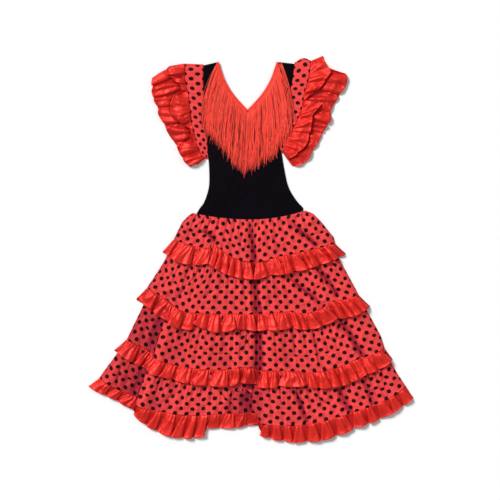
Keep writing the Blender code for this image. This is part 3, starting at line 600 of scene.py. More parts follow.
def close_ring(front, back, out_left, out_right, bulge):
    """Joins a front grid and a back grid by a rounded fold at each side into one flattened tube.

    The fold's points go straight from one layer to the other, pushed out by half a sine wave.
    """
    shares = np.array(FOLD_SHARES)[:, None]

    def fold(start, end, out):
        return start[:, None] * (1 - shares) + end[:, None] * shares + out[:, None] * (
            bulge * np.sin(np.pi * shares))

    right = fold(front[:, -1], back[:, -1], out_right)
    left = fold(back[:, 0], front[:, 0], out_left)
    return np.concatenate([front, right, back[:, ::-1], left], axis=1)


def ring_values(front, back):
    """Cut lengths round a tube: the front's, then three steps, the back's and three steps."""
    steps = FOLD_STEP * np.arange(1, 4)
    right = front[:, -1:] + steps
    rear = right[:, -1:] + FOLD_STEP + back[:, -1:] - back[:, ::-1]
    return np.concatenate([front, right, rear, rear[:, -1:] + steps], axis=1)


def ring_same(front, back):
    """A value round a tube that changes evenly across the folds."""
    shares = np.array(FOLD_SHARES)
    right = front[:, -1:] * (1 - shares) + back[:, -1:] * shares
    left = back[:, :1] * (1 - shares) + front[:, :1] * shares
    return np.concatenate([front, right, back[:, ::-1], left], axis=1)


def dress_piece(piece, node):
    """Attaches a finished cloth piece to the root and hides the model's part that it replaces."""
    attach(piece, "root")
    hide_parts(node)


class TopMap:
    """The highest cloth over the plan, on a square raster with rows along Y."""

    CELL = 2.0
    LOW = (-420.0, -500.0)
    SIZE = (425, 500)

    def __init__(self, grids, cells):
        """Raises the cells under each grid's points and under the middles between them.

        Each cell then takes the height of its highest neighbour, so many cells away, and is evened.
        """
        height = np.zeros(self.SIZE[::-1])
        for points in grids:
            middles = (points[:-1, :-1] + points[1:, 1:] + points[:-1, 1:] + points[1:, :-1]) / 4
            for x, y, z in (points.reshape(-1, 3).T, middles.reshape(-1, 3).T):
                column, row = (np.rint(part).astype(int) for part in self.place(x, y))
                np.maximum.at(height, (row, column), z)
        for _ in range(cells):
            for axis in (0, 1):
                beside = np.maximum(np.roll(height, 1, axis), np.roll(height, -1, axis))
                height = np.maximum(height, beside)
        for _ in range(cells + 1):
            for axis in (0, 1):
                height = (2 * height + np.roll(height, 1, axis) + np.roll(height, -1, axis)) / 4
        self.height = height

    def place(self, x, y):
        """Raster column and row, with fractions, of a plan position."""
        column, row = (x - self.LOW[0]) / self.CELL, (y - self.LOW[1]) / self.CELL
        return np.clip(column, 0, self.SIZE[0] - 2), np.clip(row, 0, self.SIZE[1] - 2)

    def read(self, x, y):
        """Height at plan positions, straight between the four cells round each."""
        column, row = self.place(x, y)
        c, r = np.floor(column).astype(int), np.floor(row).astype(int)
        u, v = column - c, row - r
        low = self.height[r, c] * (1 - u) + self.height[r, c + 1] * u
        high = self.height[r + 1, c] * (1 - u) + self.height[r + 1, c + 1] * u
        return low * (1 - v) + high * v


def crowns_at(place, crowns, down):
    """Number, height, lean, width and profile of the crown at each place, and the share through it.

    A crown is half a sine between its start and the next one's, with its ridge moved off its middle
    by a power of the share. At the seam it takes only the middle of its width.
    """
    table = np.array(crowns, float)
    number = np.clip(np.searchsorted(table[:, 0], place, side="right") - 1, 0, len(table) - 2)
    start, width = table[number, 0], np.diff(table[:, 0])[number]
    share = 0.5 + ((place - start) / width - 0.5) / (1 - CROWN_SPLAY + CROWN_SPLAY * down)
    share = np.clip(share, 0, 1)
    profile = np.sin(np.pi * share ** (1.0 + 0.38 * np.sin(2.6 * number + 0.8)))
    return number, table[number, 1] * CROWN_HEIGHT, table[number, 2], width, profile, share


def fluted(points, place, crowns, down, length_scale, puff, pitch):
    """Raises a gathered strip's crowns, leans them and waves its free edge.

    puff is the share of its height that a crown loses again on the way to the free edge, and
    pitch is the distance between the lesser folds.

    A crown's height goes with its profile and grows as a power of the share of the way down. Two
    or three lesser folds fan out from the seam in it, as the size of a sine, and a wide crown has a
    dent in its middle at the free edge. Its points move across the strip with its lean times its
    height, and out to the valleys beside it.
    """
    number, height, lean, width, profile, share = crowns_at(place, crowns, down)
    width = width * length_scale
    grow = down ** CROWN_GROWTH * (1 - puff * eased((down - 0.5) / 0.5))
    rise = height * profile * grow
    folds = np.maximum(np.round(width / pitch + 0.4 * np.sin(7 * number)), 1)
    turn = np.pi * folds * (share + 0.05 * np.sin(5 * number + 4 * down))
    fan = np.abs(np.sin(turn)) ** 0.9 * np.sin(np.pi * share) ** 0.5
    fan_fade = eased(down / 0.12) * (1 - 0.75 * eased((down - 0.25) / 0.75))
    rise = rise + FAN_HEIGHT * np.minimum(height, 6.0) * (fan - 0.45) * fan_fade
    dent_at = 0.5 + 0.12 * np.sin(3.1 * number)
    dent = np.exp(-((share - dent_at) / (0.10 + 0.05 * down)) ** 2) * eased((down - 0.2) / 0.6)
    rise = rise - DENT_DEPTH * height * eased((width - 24) / 16) * dent
    across = unit(np.gradient(points[..., :2], axis=1))
    along = unit(np.gradient(points[..., :2], axis=0))
    pinch = np.minimum(PINCH * width, PINCH_MOST) * np.sin(2 * np.pi * share) * grow
    sway = LEAN_REACH * lean * rise - pinch
    out = CROWN_SCALLOP * height * (profile - 0.5) * down ** 2
    moved = points.copy()
    moved[..., :2] += across * sway[..., None] + along * out[..., None]
    moved[..., 2] += rise
    return moved


def ruffle_finish(points, lengths, depth, down, crumpled, curled, seed):
    """Fine pleats below a ruffle's seam, crumples along it and a lifted free edge."""
    below = depth * down
    pleats = gather_wave(lengths, SEAM_GATHER_PITCH, seed)
    fade = eased(below / 3.5) * fading(below, 4, SEAM_GATHER_LENGTH)
    points[..., 2] += SEAM_GATHER_HEIGHT * (pleats + 0.4) * fade
    crumple = ridges(lengths / 30, below / 38, seed + 4) - 0.3
    points[..., 2] += crumpled * crumple * eased(down / 0.3)
    curl = eased((down - 0.9) / 0.1) * (0.4 + value_noise(lengths / 14, 0 * lengths, seed + 5))
    points[..., 2] += curled * curl
    points[..., 2] = soft_floor(points[..., 2], RUFFLE_LOWEST, 1.8)
    return points


def polar(radius, angle):
    """Plan position of a skirt place: the apex plus the radius turned by the angle."""
    turn = np.radians(angle)
    return APEX[0] + radius * np.sin(turn), APEX[1] - radius * np.cos(turn)


def side_angles(radius):
    """Left and right angle of the side folds, straight between the rows of the table."""
    rows = np.array(SIDES, float)
    return np.interp(radius, rows[:, 0], rows[:, 1]), np.interp(radius, rows[:, 0], rows[:, 2])


def from_side(angle, radius):
    """Angle from a skirt place to the nearer side fold."""
    left, right = side_angles(radius)
    return np.minimum(angle - left, right - angle)


def waist(angle):
    """Radius of the waist seam: a parabola on each side of the middle."""
    left = WAIST_RISE_LEFT * (angle / WAIST_ANGLE_LEFT) ** 2
    right = WAIST_RISE_RIGHT * (angle / WAIST_ANGLE_RIGHT) ** 2
    return WAIST_RADIUS + np.where(angle < 0, left, right)


def panel_radius(ruffle, angle, first):
    """A parabola through each panel's three values, with the steps between panels eased."""
    rows = PANELS[ruffle]
    total = 0.0
    shifts = np.linspace(-1, 1, 9)
    for shift in shifts:
        at = np.clip(np.asarray(angle, float) + shift * PANEL_BLEND, rows[0][0], rows[-1][1])
        value = np.zeros_like(at)
        for row in rows:
            t = (at - row[0]) / (row[1] - row[0])
            start, middle, end = row[first:first + 3]
            curve = start * (1 - t) * (1 - 2 * t) + 4 * middle * t * (1 - t) + end * t * (2 * t - 1)
            value = np.where((at >= row[0]) & (at <= row[1]), curve, value)
        total = total + value
    return total / len(shifts)


def seam(ruffle, angle):
    """Radius of the seam that a ruffle hangs from, in front."""
    return panel_radius(ruffle, angle, 2)


def edge(ruffle, angle):
    """Radius of a ruffle's free edge, in front."""
    return panel_radius(ruffle, angle, 5)


def back_arc(front_arc, ruffle, angle):
    """The same line at the back: a chord between the sides, raised by a parabola."""
    left, right = side_angles(float(front_arc(ruffle, 0.0)))
    t = np.clip((angle - left) / (right - left), 0, 1)
    ends = front_arc(ruffle, left) * (1 - t) + front_arc(ruffle, right) * t
    return ends - BACK_SEAM_RISE[ruffle] * 4 * t * (1 - t)


def bell(x, y, from_angle, from_radius, to_angle, to_radius, half_width):
    """One on the straight line between two skirt places, falling off as a bell to both sides."""
    ax, ay = polar(from_radius, from_angle)
    bx, by = polar(to_radius, to_angle)
    along = ((x - ax) * (bx - ax) + (y - ay) * (by - ay)) / ((bx - ax) ** 2 + (by - ay) ** 2)
    along = np.clip(along, 0, 1)
    away = np.hypot(x - ax - along * (bx - ax), y - ay - along * (by - ay))
    return np.exp(-(away / half_width) ** 2)


def painted_shade_at(angle, radius):
    """Painted shade of the skirt's front: one less the product of the light that each hollow and side
    leaves.
    """
    x, y = polar(radius, angle)
    light = np.ones_like(x)
    for *line, half_width, depth in HOLLOW_PAINTED_SHADE:
        light = light * (1 - depth * bell(x, y, *line, half_width))
    for side, painted_shade in zip(side_angles(radius), SIDE_PAINTED_SHADE):
        inward = np.abs(np.radians(angle - side)) * radius
        light = light * (1 - painted_shade * np.exp(-inward / SIDE_PAINTED_SHADE_WIDTH))
    return 1 - light


def front_height(angle, radius):
    """Height of the skirt's front: loft over the back plus a bell across each large fold."""
    x, y = polar(radius, angle)
    height = np.full(np.shape(x), FRONT_LOWEST + FRONT_LOFT)
    for *line, half_width, rise in FOLDS:
        height = height + FOLD_DEPTH * rise * bell(x, y, *line, half_width)
    droop = np.clip(1 - from_side(angle, radius) / SIDE_DROOP_WIDTH, 0, 1) ** 2
    height = np.maximum(height - droop * FRONT_LOFT, FOLD_LOWEST)
    below = eased((radius - waist(angle)) / WAIST_TO_LOFT)
    return FRONT_ON_BACK + (height - FRONT_ON_BACK) * below


def creased(angle, radius, tier):
    """Height, sideways shift and hidden cloth that the pressed creases add to a tier.

    Across a crease the cloth dips by an exponential of the distance, and the lifted side stands up
    at once and falls off over a hand's breadth. The lifted side leans over the crease. The cloth
    hidden in it moves the cut's lengths across it by a smooth step, so the print is squeezed there.
    """
    x, y = polar(radius, angle)
    turn = np.radians(angle)
    height, shift_x, shift_y = np.zeros_like(x), np.zeros_like(x), np.zeros_like(x)
    hidden_across, hidden_up = np.zeros_like(x), np.zeros_like(x)
    for from_angle, from_radius, to_angle, to_radius, half_width, depth, lift in CREASES[tier]:
        ax, ay = polar(from_radius, from_angle)
        bx, by = polar(to_radius, to_angle)
        length = math.hypot(bx - ax, by - ay)
        dx, dy = (bx - ax) / length, (by - ay) / length
        along = ((x - ax) * dx + (y - ay) * dy) / length
        away = (x - ax) * -dy + (y - ay) * dx
        away = away + 1.5 * np.sin(along * 5.0 + from_angle)
        beyond = np.maximum(np.maximum(-along, along - 1) * length, 0)
        fade = np.clip(np.minimum(along + 0.12, 1.12 - along) / 0.25, 0, 1) * np.exp(-beyond / 6)
        reach = np.sqrt(away ** 2 + 0.5)
        height -= CREASE_DEPTH * depth * fade * np.exp(-reach / (CREASE_SPREAD * half_width))
        side = 0.5 + 0.5 * np.tanh(away * np.sign(lift) / (0.5 * half_width))
        risen = CREASE_DEPTH * abs(lift) * fade * side * np.exp(-reach / CREASE_LIFT_WIDTH)
        height += risen
        lean = -np.sign(lift) * CREASE_LEAN * risen * np.exp(-reach / (8 * half_width))
        shift_x += lean * -dy
        shift_y += lean * dx
        hidden = CREASE_HIDES * depth * fade * np.tanh(away / half_width)
        hidden_across += hidden * (-dy * np.cos(turn) + dx * np.sin(turn))
        hidden_up += hidden * (dy * np.sin(turn) + dx * np.cos(turn))
    return height, shift_x, shift_y, hidden_across, hidden_up


def tier_start(tier, angle, front):
    """Radius of the seam that a tier hangs from."""
    if tier == 1:
        return waist(angle) + 0.6
    line = seam(tier - 1, angle) if front else back_arc(seam, tier - 1, angle)
    return line + 0.3


def seam_wander(ruffle, angle):
    """How far a gathered seam strays from its line, from two small waves of unlike pitch."""
    length = np.radians(angle) * seam(ruffle, 0.0)
    wave = np.sin(2 * np.pi * length / 8.3 + 3 * np.sin(length / 37 + ruffle))
    return 0.55 * wave + 0.7 * np.sin(2 * np.pi * length / 21.0 + 2 * ruffle)


def tier_end(tier, angle, front):
    """Radius of a tier's lower edge: in front it laps the ruffle's seam, less at the sides."""
    if not front:
        return back_arc(seam, tier, angle) - 0.6
    inside = eased(from_side(angle, seam(tier, angle)) / 2.0)
    return seam(tier, angle) - 0.5 + (TIER_LIP + 0.5 + seam_wander(tier, angle)) * inside


def side_out(angles):
    """Unit vectors out of the skirt's sides for a column of angles."""
    turn = np.radians(angles)
    return np.stack([np.cos(turn), np.sin(turn), np.zeros_like(turn)], -1)


def tier_plan(tier, rows, columns, front):
    """Angles and radii of one side of a tier: even shares between the side folds and the seams."""
    down = np.linspace(0, 1, rows)
    limits = []
    for index, guess in enumerate((WAIST_ANGLE_LEFT - 2.5, WAIST_ANGLE_RIGHT + 3.5)):
        top, bottom = tier_start(tier, guess, True), tier_end(tier, guess, True)
        if tier == 1:
            top = WAIST_RADIUS + (WAIST_RISE_LEFT, WAIST_RISE_RIGHT)[index]
        radius = top + (bottom - top) * down
        inset = np.degrees(SIDE_INSET / radius) * (1, -1)[index]
        limits.append(side_angles(radius)[index] + inset)
    left, right = limits
    angle = left[:, None] + (right - left)[:, None] * np.linspace(0, 1, columns)
    top, bottom = tier_start(tier, angle, front), tier_end(tier, angle, front)
    return angle, top + (bottom - top) * down[:, None]


def print_lines(tier, angle, radius):
    """Cut lengths across and up a tier: the rows of dots keep to a softened line of the seam.

    The height above that line is its radius less the place's. The length across is the angle times
    the seam's radius, less the line's slope times the height, so that the two stay square.
    """
    def line(at):
        return sum(seam(tier, at + shift) for shift in (-4, -3, -2, -1, 0, 1, 2, 3, 4)) / 9

    size = float(seam(tier, 0.0))
    slope = (line(angle + 8) - line(angle - 8)) / (math.radians(16) * size)
    up = line(angle) - radius
    return np.radians(angle) * size - slope * up, up


def tier_front(tier, rows, columns):
    """Front of a tier: loft, large folds, gathers, pressed creases, crumples and rolled lip."""
    angle, radius = tier_plan(tier, rows, columns, True)
    x, y = polar(radius, angle)
    below = radius - tier_start(tier, angle, True)
    above = seam(tier, angle) - radius
    shown = below - (0.0 if tier == 1 else RUFFLE_DEPTH)
    lengths = np.radians(angle) * seam(tier, 0.0)
    inside = eased(from_side(angle, radius) / 1.6)
    height = front_height(angle, radius)
    for seed, pitch, size, start, reach in TIER_GATHERS:
        fade = eased(below / start) * fading(shown, 0, reach)
        height += size * gather_wave(lengths, pitch, seed + tier) * fade * inside
    sway = value_noise(x / 75, y / 95, 45 + tier) - 0.5
    height += TIER_SWAY * sway * inside * eased(below / 30)
    size, pitch = TIER_EDGE_GATHERS
    fade = fading(above, 0, TIER_EDGE_REACH)
    height += size * gather_wave(lengths, pitch, 40 + tier) * fade * inside
    crumple = wrinkled(x, y, 50 + 10 * tier, *CRUMPLES["tier"])
    height += crumple * eased(below / 12) * (0.3 + 0.7 * inside)
    rise, shift_x, shift_y, hidden_across, hidden_up = creased(angle, radius, tier)
    height += rise
    wander = value_noise(lengths / 60, 0 * lengths, 60 + tier) - 0.5
    packing = PACKING_ABOVE_SEAM[tier] + PACKING_WANDER * wander
    strength = eased(2.4 * value_noise(lengths / 45, 0 * lengths + 2, 70 + tier) - 0.9)
    height -= PACKING_DEPTH * strength * np.exp(-np.abs(above - packing) / PACKING_REACH) * inside
    hidden = PACKING_HIDDEN * strength * eased((above - packing) / PACKING_WIDTH + 0.5)
    height += LIP_RISE * eased(1 - above / LIP_LENGTH) * (0.25 + 0.75 * inside)
    height -= LIP_TURN * eased(-above / TIER_LIP) * inside
    over_ruffle = 0.0 if tier == 1 else eased(1 - (shown - 6) / 14)
    lowest = TIER_LOWEST + (OVER_BACK_RUFFLE - TIER_LOWEST) * over_ruffle
    height = soft_floor(height, lowest, 1.6)
    step = np.gradient(lengths, axis=1)
    excess = np.cumsum((np.sqrt(1 + (np.gradient(height, axis=1) / step) ** 2) - 1) * step, axis=1)
    excess = excess - excess[:, columns // 2][:, None]
    across, up = print_lines(tier, angle, radius)
    across = across + hidden_across + 0.5 * excess
    across = across + PRINT_DRIFT * (value_noise(x / 50, y / 50, 80 + tier) - 0.5)
    drift = PRINT_DRIFT * (value_noise(x / 46, y / 60, 85 + tier) - 0.5)
    up = up + hidden_up + hidden + drift
    points = np.stack([x + shift_x, y + shift_y, height], -1)
    # The last value is the painted shade of the skirt's hollows and sides.
    return points, across, up, angle, painted_shade_at(angle, radius)


def tier_back(tier, rows, columns):
    """Back of a tier: flat on the surface, and over the back of the ruffle above it."""
    angle, radius = tier_plan(tier, rows, columns, False)
    x, y = polar(radius, angle)
    below = radius - tier_start(tier, angle, False)
    above = back_arc(seam, tier, angle) - radius
    height = np.full_like(x, BACK_LAYER)
    if tier > 1:
        reach = RUFFLE_DEPTH + 4.0
        over = np.where(below < reach, eased(0.35 + 0.65 * below / reach), eased(1 - (below - reach) / 16))
        height += (BACK_OVER_RUFFLE - BACK_LAYER) * over
    lengths = np.radians(angle) * seam(tier, 0.0)
    height += 0.5 * wrinkled(x, y, 90 + tier, *CRUMPLES["tier_back"]).clip(0, None)
    return np.stack([x, y, height], -1), lengths, above


def skirt_tube(name, front, back, cloth):
    """Closes a front and a back of the skirt into a tube, with its cut's lengths and painted shade."""
    points, across, along, angle, painted_shade = front
    back_points, back_across, back_along = back
    points = close_ring(points, back_points, -side_out(angle[:, 0]), side_out(angle[:, -1]), SIDE_BULGE)
    across, along = ring_values(across, back_across), ring_same(along, back_along)
    painted_shade = ring_same(painted_shade, np.zeros_like(back_along))
    return cloth_object(name, points, across, along, cloth, True, painted_shade)


def build_tier(tier, cloth):
    """A dotted tier, front and back in one tube. Returns the object and the front's points."""
    depth = float(seam(tier, 0.0) - tier_start(tier, 0.0, True))
    rows = int(depth / TIER_ROW_STEP)
    columns = int(float(seam(tier, 0.0)) * TIER_SPAN / TIER_COLUMN_STEP)
    front = tier_front(tier, rows, columns)
    return skirt_tube(f"tier_{tier}", front, tier_back(tier, rows, columns // 4), cloth), front[0]


def ruffle_plan(ruffle, rows, columns, front):
    """Angle, upper radius, radius, share down, place and length of one side of a skirt ruffle.

    Its ends go straight from the skirt's sides at the seam to the ruffle's own ends at its edge.
    """
    ends = RUFFLE_ENDS[ruffle]
    down = np.linspace(0, 1, rows)[:, None]
    share = np.linspace(0, 1, columns)
    left, right = (
        side_angles(float(seam(ruffle, end)))[index] * (1 - down) + end * down
        for index, end in enumerate(ends))
    angle = left + (right - left) * share
    lines = [line(ruffle, angle) if front else back_arc(line, ruffle, angle) for line in (seam, edge)]
    top = lines[0] + 0.4
    place = np.broadcast_to(ends[0] + (ends[1] - ends[0]) * share, angle.shape)
    lengths = np.radians(place) * float(edge(ruffle, 0.0))
    return angle, top, top + (lines[1] - top) * down, np.broadcast_to(down, angle.shape), place, lengths


def ruffle_front(ruffle, under, rows, columns):
    """Front of a skirt ruffle: it lies on the tier below it and stands up in crowns."""
    angle, top, radius, down, place, lengths = ruffle_plan(ruffle, rows, columns, True)
    x, y = polar(radius, angle)
    if under is None:
        start = front_height(angle, top) + 1.0
        base = np.maximum(start * (1 - eased(down)) + HEM_LEVEL * eased(down), HEM_LEVEL)
    else:
        base = under.read(x, y) + RUFFLE_ON_TIER + 0.5 * down
    scale = math.radians(1.0) * float(edge(ruffle, 0.0))
    points = np.stack([x, y, base], -1)
    points = fluted(points, place, SKIRT_CROWNS[ruffle], down, scale, 0.0, FAN_PITCH)
    points = ruffle_finish(points, lengths, RUFFLE_DEPTH, down, RUFFLE_CRUMPLES, EDGE_CURL,
                           100 * ruffle)
    # The last value is the painted shade of the skirt's hollows and sides.
    return points, lengths, (1 - down) * RUFFLE_DEPTH, angle, painted_shade_at(angle, radius)


def ruffle_back(ruffle, rows, columns):
    """Back of a skirt ruffle: on the surface, with low waves that grow to the free edge."""
    angle, _, radius, down, _, lengths = ruffle_plan(ruffle, rows, columns, False)
    x, y = polar(radius, angle)
    share = np.linspace(0, 1, columns)
    waves = BACK_CROWNS[ruffle] * (share + 0.02 * np.sin(9 * share))
    height = BACK_LAYER + BACK_WAVE * down * np.abs(np.sin(np.pi * waves)) ** 0.8
    return np.stack([x, y, height], -1), lengths, (1 - down) * RUFFLE_DEPTH


def build_skirt_ruffle(ruffle, under, cloth):
    """A satin ruffle round the skirt, front and back in one tube."""
    columns = int(float(edge(ruffle, 0.0)) * RUFFLE_SPAN / RUFFLE_COLUMN_STEP)
    front = ruffle_front(ruffle, under, RUFFLE_ROWS, columns)
    return skirt_tube(f"ruffle_{ruffle}", front, ruffle_back(ruffle, RUFFLE_ROWS, columns // 4), cloth)


def arm_line(side):
    """The bodice's armhole edge from the shoulder to the underarm, as shares and places."""
    first = 0 if side == "left" else 5
    rows = BODICE[:UNDERARM_ROW + 1]
    return [(i / UNDERARM_ROW, row[first], row[first + 1]) for i, row in enumerate(rows)]


def sleeve_sheet(start, end, rows, columns, out, puff):
    """Flat sheet of a sleeve piece, straight between its two lines and moved out from the bodice.

    puff is how far its fold on the shoulder bulges towards the neck, as half a sine. Returns the
    points at no height, and grids of the shares of the way along and down.
    """
    share, down = np.meshgrid(np.linspace(0, 1, columns), np.linspace(0, 1, rows))
    first, last = smooth_line(start)(share[0]), smooth_line(end)(share[0])
    plan = first * (1 - down[..., None]) + last * down[..., None]
    y = plan[..., 1] + puff * np.sin(np.pi * down) * np.exp(-(share / 0.06) ** 2)
    return np.stack([plan[..., 0] + out, y, 0 * share], -1), share, down


def sleeve_tube(name, front, back, depth, full, cloth, painted_shade=0.0, folded=1.0):
    """Closes a sleeve piece's front and back into a tube, with its cut's lengths and painted shade."""
    out_start = unit(unit(front[:, 0] - front[:, 2]) * (1, 1, 0))
    out_end = unit(unit(front[:, -1] - front[:, -3]) * (1, 1, 0))
    points = close_ring(front, back, out_start, out_end, SIDE_BULGE)
    rows = len(front)
    lengths = [np.tile(full * arc_lengths(grid, rows - 1), (rows, 1)) for grid in (front, back)]
    across = ring_values(*lengths)
    along = depth * np.linspace(1, 0, rows)[:, None] + 0 * across
    painted_shade = ring_same(painted_shade + np.zeros(front.shape[:2]), np.zeros(back.shape[:2]))
    return cloth_object(name, points, across, along, cloth, True, painted_shade, folded)


def band_sheet(side, layer):
    """Flat sheet of one layer of the band round an arm, from the armhole to the ruffles' seam."""
    return sleeve_sheet(arm_line(side), SLEEVE_BAND[side], BAND_ROWS, BAND_COLUMNS[layer], 0.0,
                        SHOULDER_PUFF[side][0])


def band_front(side):
    """Front of the dotted band round an arm, with gathers at the ruffles' seam."""
    front, share, down = band_sheet(side, "front")
    front[..., 0] += OUTWARD[side] * 0.5
    ends = eased(np.minimum(share, 1 - share) / 0.04)
    lengths = np.tile(arc_lengths(front, 0), (len(front), 1))
    front[..., 2] = FRONT_ON_BACK + (0.6 + 1.3 * np.sin(np.pi * down * 0.6) + 1.4 * down) * ends
    size, pitch = BAND_GATHERS
    front[..., 2] += size * gather_wave(lengths, pitch, 301) * ends * down
    crumple = wrinkled(front[..., 0], front[..., 1], 310, *CRUMPLES["band"])
    front[..., 2] += crumple.clip(-0.2, None) * ends
    return front


def build_band(side, cloth):
    """The dotted band round an arm between the bodice and the sleeve's ruffles."""
    back = band_sheet(side, "back")[0] + (0, 0, BACK_LAYER)
    return sleeve_tube(f"arm_band_{side}", band_front(side), back, BAND_DEPTH, BAND_FULLNESS, cloth)


def rim_shadow(side, points, place):
    """One in the long ruffle beside the short one's free edge, falling off within a few mm."""
    line = smooth_line(SLEEVE_SHORT[side])(np.linspace(0, 1, 300))
    away = np.min(np.linalg.norm(points[..., None, :2] - line, axis=-1), axis=-1)
    return np.exp(-(away / RIM_WIDTH) ** 2) * eased(np.minimum(place, 1 - place) / 0.05)


def build_sleeve_ruffle(side, kind, under, cloth):
    """A long or short satin ruffle round an arm, front and back in one tube.

    The long one lies on the surface, hollow and with painted shadow beside the short one's rim, and
    the short one on the long one. Crumples of the satin run at a slant across it.
    """
    long = kind == "long"
    made = SLEEVE_RUFFLES[kind]
    rows, columns = made["grid"]
    out = OUTWARD[side] * made["out"]
    bulge = SHOULDER_PUFF[side][1] if long else 0.0
    lines = SLEEVE_BAND[side], made["line"][side]
    front, place, down = sleeve_sheet(*lines, rows, columns, out, bulge)
    if long:
        base = LONG_LEVEL + 0.4 * np.sin(np.pi * down) - 1.0 * down
    else:
        base = under.read(front[..., 0], front[..., 1]) + SHORT_ON_LONG
    front[..., 2] = base
    length = arc_lengths(front, rows - 1)[-1]
    seed = SLEEVE_SEED[side] + made["seed"]
    front = fluted(front, place, made["crowns"][side], down, length, made["puff"], made["pitch"])
    front = ruffle_finish(front, place * length, made["depth"], down, made["crumpled"],
                          made["curled"], seed)
    turned_x = 0.8 * front[..., 0] + 0.6 * front[..., 1]
    turned_y = 0.8 * front[..., 1] - 0.6 * front[..., 0]
    crumple = wrinkled(turned_x, turned_y, seed + 11, made["large"], made["small"])
    front[..., 2] += crumple * eased(down / 0.25)
    ends = eased(np.minimum(place, 1 - place) / 0.02)
    front[..., 2] = base + (front[..., 2] - base) * (0.4 + 0.6 * ends)
    rim = rim_shadow(side, front, place) if long else 0.0 * down
    lower = front - RIM_HOLLOW * rim[..., None] * (0, 0, 1)
    for grid in (front, lower):
        grid[..., 2] = np.maximum(grid[..., 2], RUFFLE_LOWEST)
    back = sleeve_sheet(*lines, rows, columns // 4, out, bulge)[0]
    back[..., 2] = np.interp(np.linspace(0, 1, rows), (0, 0.7, 1), made["back"])[:, None]
    # Painted shade along the long ruffle's middle, and painted shadow beside the short one's rim.
    middle, half_width, painted_shade = LONG_PAINTED_SHADE[side]
    shade = long * painted_shade * np.exp(-((place - middle) / half_width) ** 2) * (0.5 + 0.5 * down)
    painted_shade = 1 - (1 - RIM_PAINTED_SHADOW * rim) * (1 - shade)
    piece = sleeve_tube(f"sleeve_{kind}_{side}", lower, back, made["depth"], 1.0, cloth, painted_shade,
                        made["folded"])
    return piece, front


def neck_line(side):
    """Smooth line of the neck's edge from the shoulder at 0 to the neck's point at 1."""
    column = 2 if side == "left" else 3
    rows = [(i / NECK_POINT_ROW, row[column], row[4]) for i, row in enumerate(BODICE[:4])]
    return smooth_line(rows)


def bodice_half(side, rows, columns, set_back):
    """Plan grid of one half of a bodice panel, from its side to its neck and centre line."""
    first, neck, sign = (0, 2, -1) if side == "left" else (5, 3, 1)
    last = len(BODICE)
    outer = [(i, row[first], row[first + 1]) for i, row in enumerate(BODICE)]
    high = [(i, row[neck] + sign * set_back, row[4]) for i, row in enumerate(BODICE[:NECK_POINT_ROW])]
    high.append((NECK_POINT_ROW, BODICE[NECK_POINT_ROW][neck], BODICE[NECK_POINT_ROW][4] - set_back))
    low = [(i, row[neck], row[4]) for i, row in enumerate(BODICE) if i >= NECK_POINT_ROW]
    middle = math.degrees(math.asin((BODICE[-1][2] - APEX[0]) / WAIST_RADIUS))
    corner = WAIST_ANGLE_LEFT + 0.4 if side == "left" else WAIST_ANGLE_RIGHT - 0.4
    outer.append((last, *polar(waist(np.array(corner)), corner)))
    low.append((last, *polar(waist(np.array(middle)), middle)))
    places = np.linspace(0, last, rows)
    places[np.argmin(np.abs(places - NECK_POINT_ROW))] = NECK_POINT_ROW
    side_points = smooth_line(outer)(places)
    neck_points = np.where((places <= NECK_POINT_ROW)[:, None],
                           smooth_line(high)(places), smooth_line(low)(places))
    share = np.linspace(0, 1, columns)[None, :, None]
    plan = side_points[:, None] * (1 - share) + neck_points[:, None] * share
    angle = corner + (middle - corner) * share[0, :, 0]
    arc = np.stack(polar(waist(angle), angle), -1)
    pull = eased((places - last + 1.5) / 1.5)[:, None, None]
    chord = plan[-1][None]
    return plan + (arc[None] - chord) * pull


def build_bodice(name, level, set_back, seed, cloth):
    """A bodice panel: two halves that join below the point of the neck.

    Between the halves' grids lies one column of faces, which is taken out. Their middles then join.
    """
    rows, columns = BODICE_GRID
    left = bodice_half("left", rows, columns, set_back)
    right = bodice_half("right", rows, columns, set_back)[:, ::-1]
    x, y = np.moveaxis(np.concatenate([left, right], axis=1), -1, 0)
    height = np.full_like(x, level)
    if set_back == 0.0:
        share = np.linspace(0, 1, columns)
        height += BODICE_LOFT * eased(np.concatenate([share, share[::-1]]) / 0.25)
        height += BODICE_CRUMPLED * wrinkled(x, y, seed, *CRUMPLES["bodice"]).clip(0, None)
        height -= BODICE_WAIST_DROP * eased((np.linspace(0, 1, rows)[:, None] - 0.93) / 0.07)
    points = np.stack([x, y, height], -1)
    piece = cloth_object(name, points, x - x.min(), y - y.min(), cloth, False)
    shape = bmesh.new()
    shape.from_mesh(piece.data)
    between = [face for face in shape.faces if face.index % (2 * columns - 1) == columns - 1]
    bmesh.ops.delete(shape, geom=between, context="FACES_ONLY")
    bmesh.ops.remove_doubles(shape, verts=shape.verts, dist=0.00005)
    shape.to_mesh(piece.data)
    shape.free()
    return piece, points


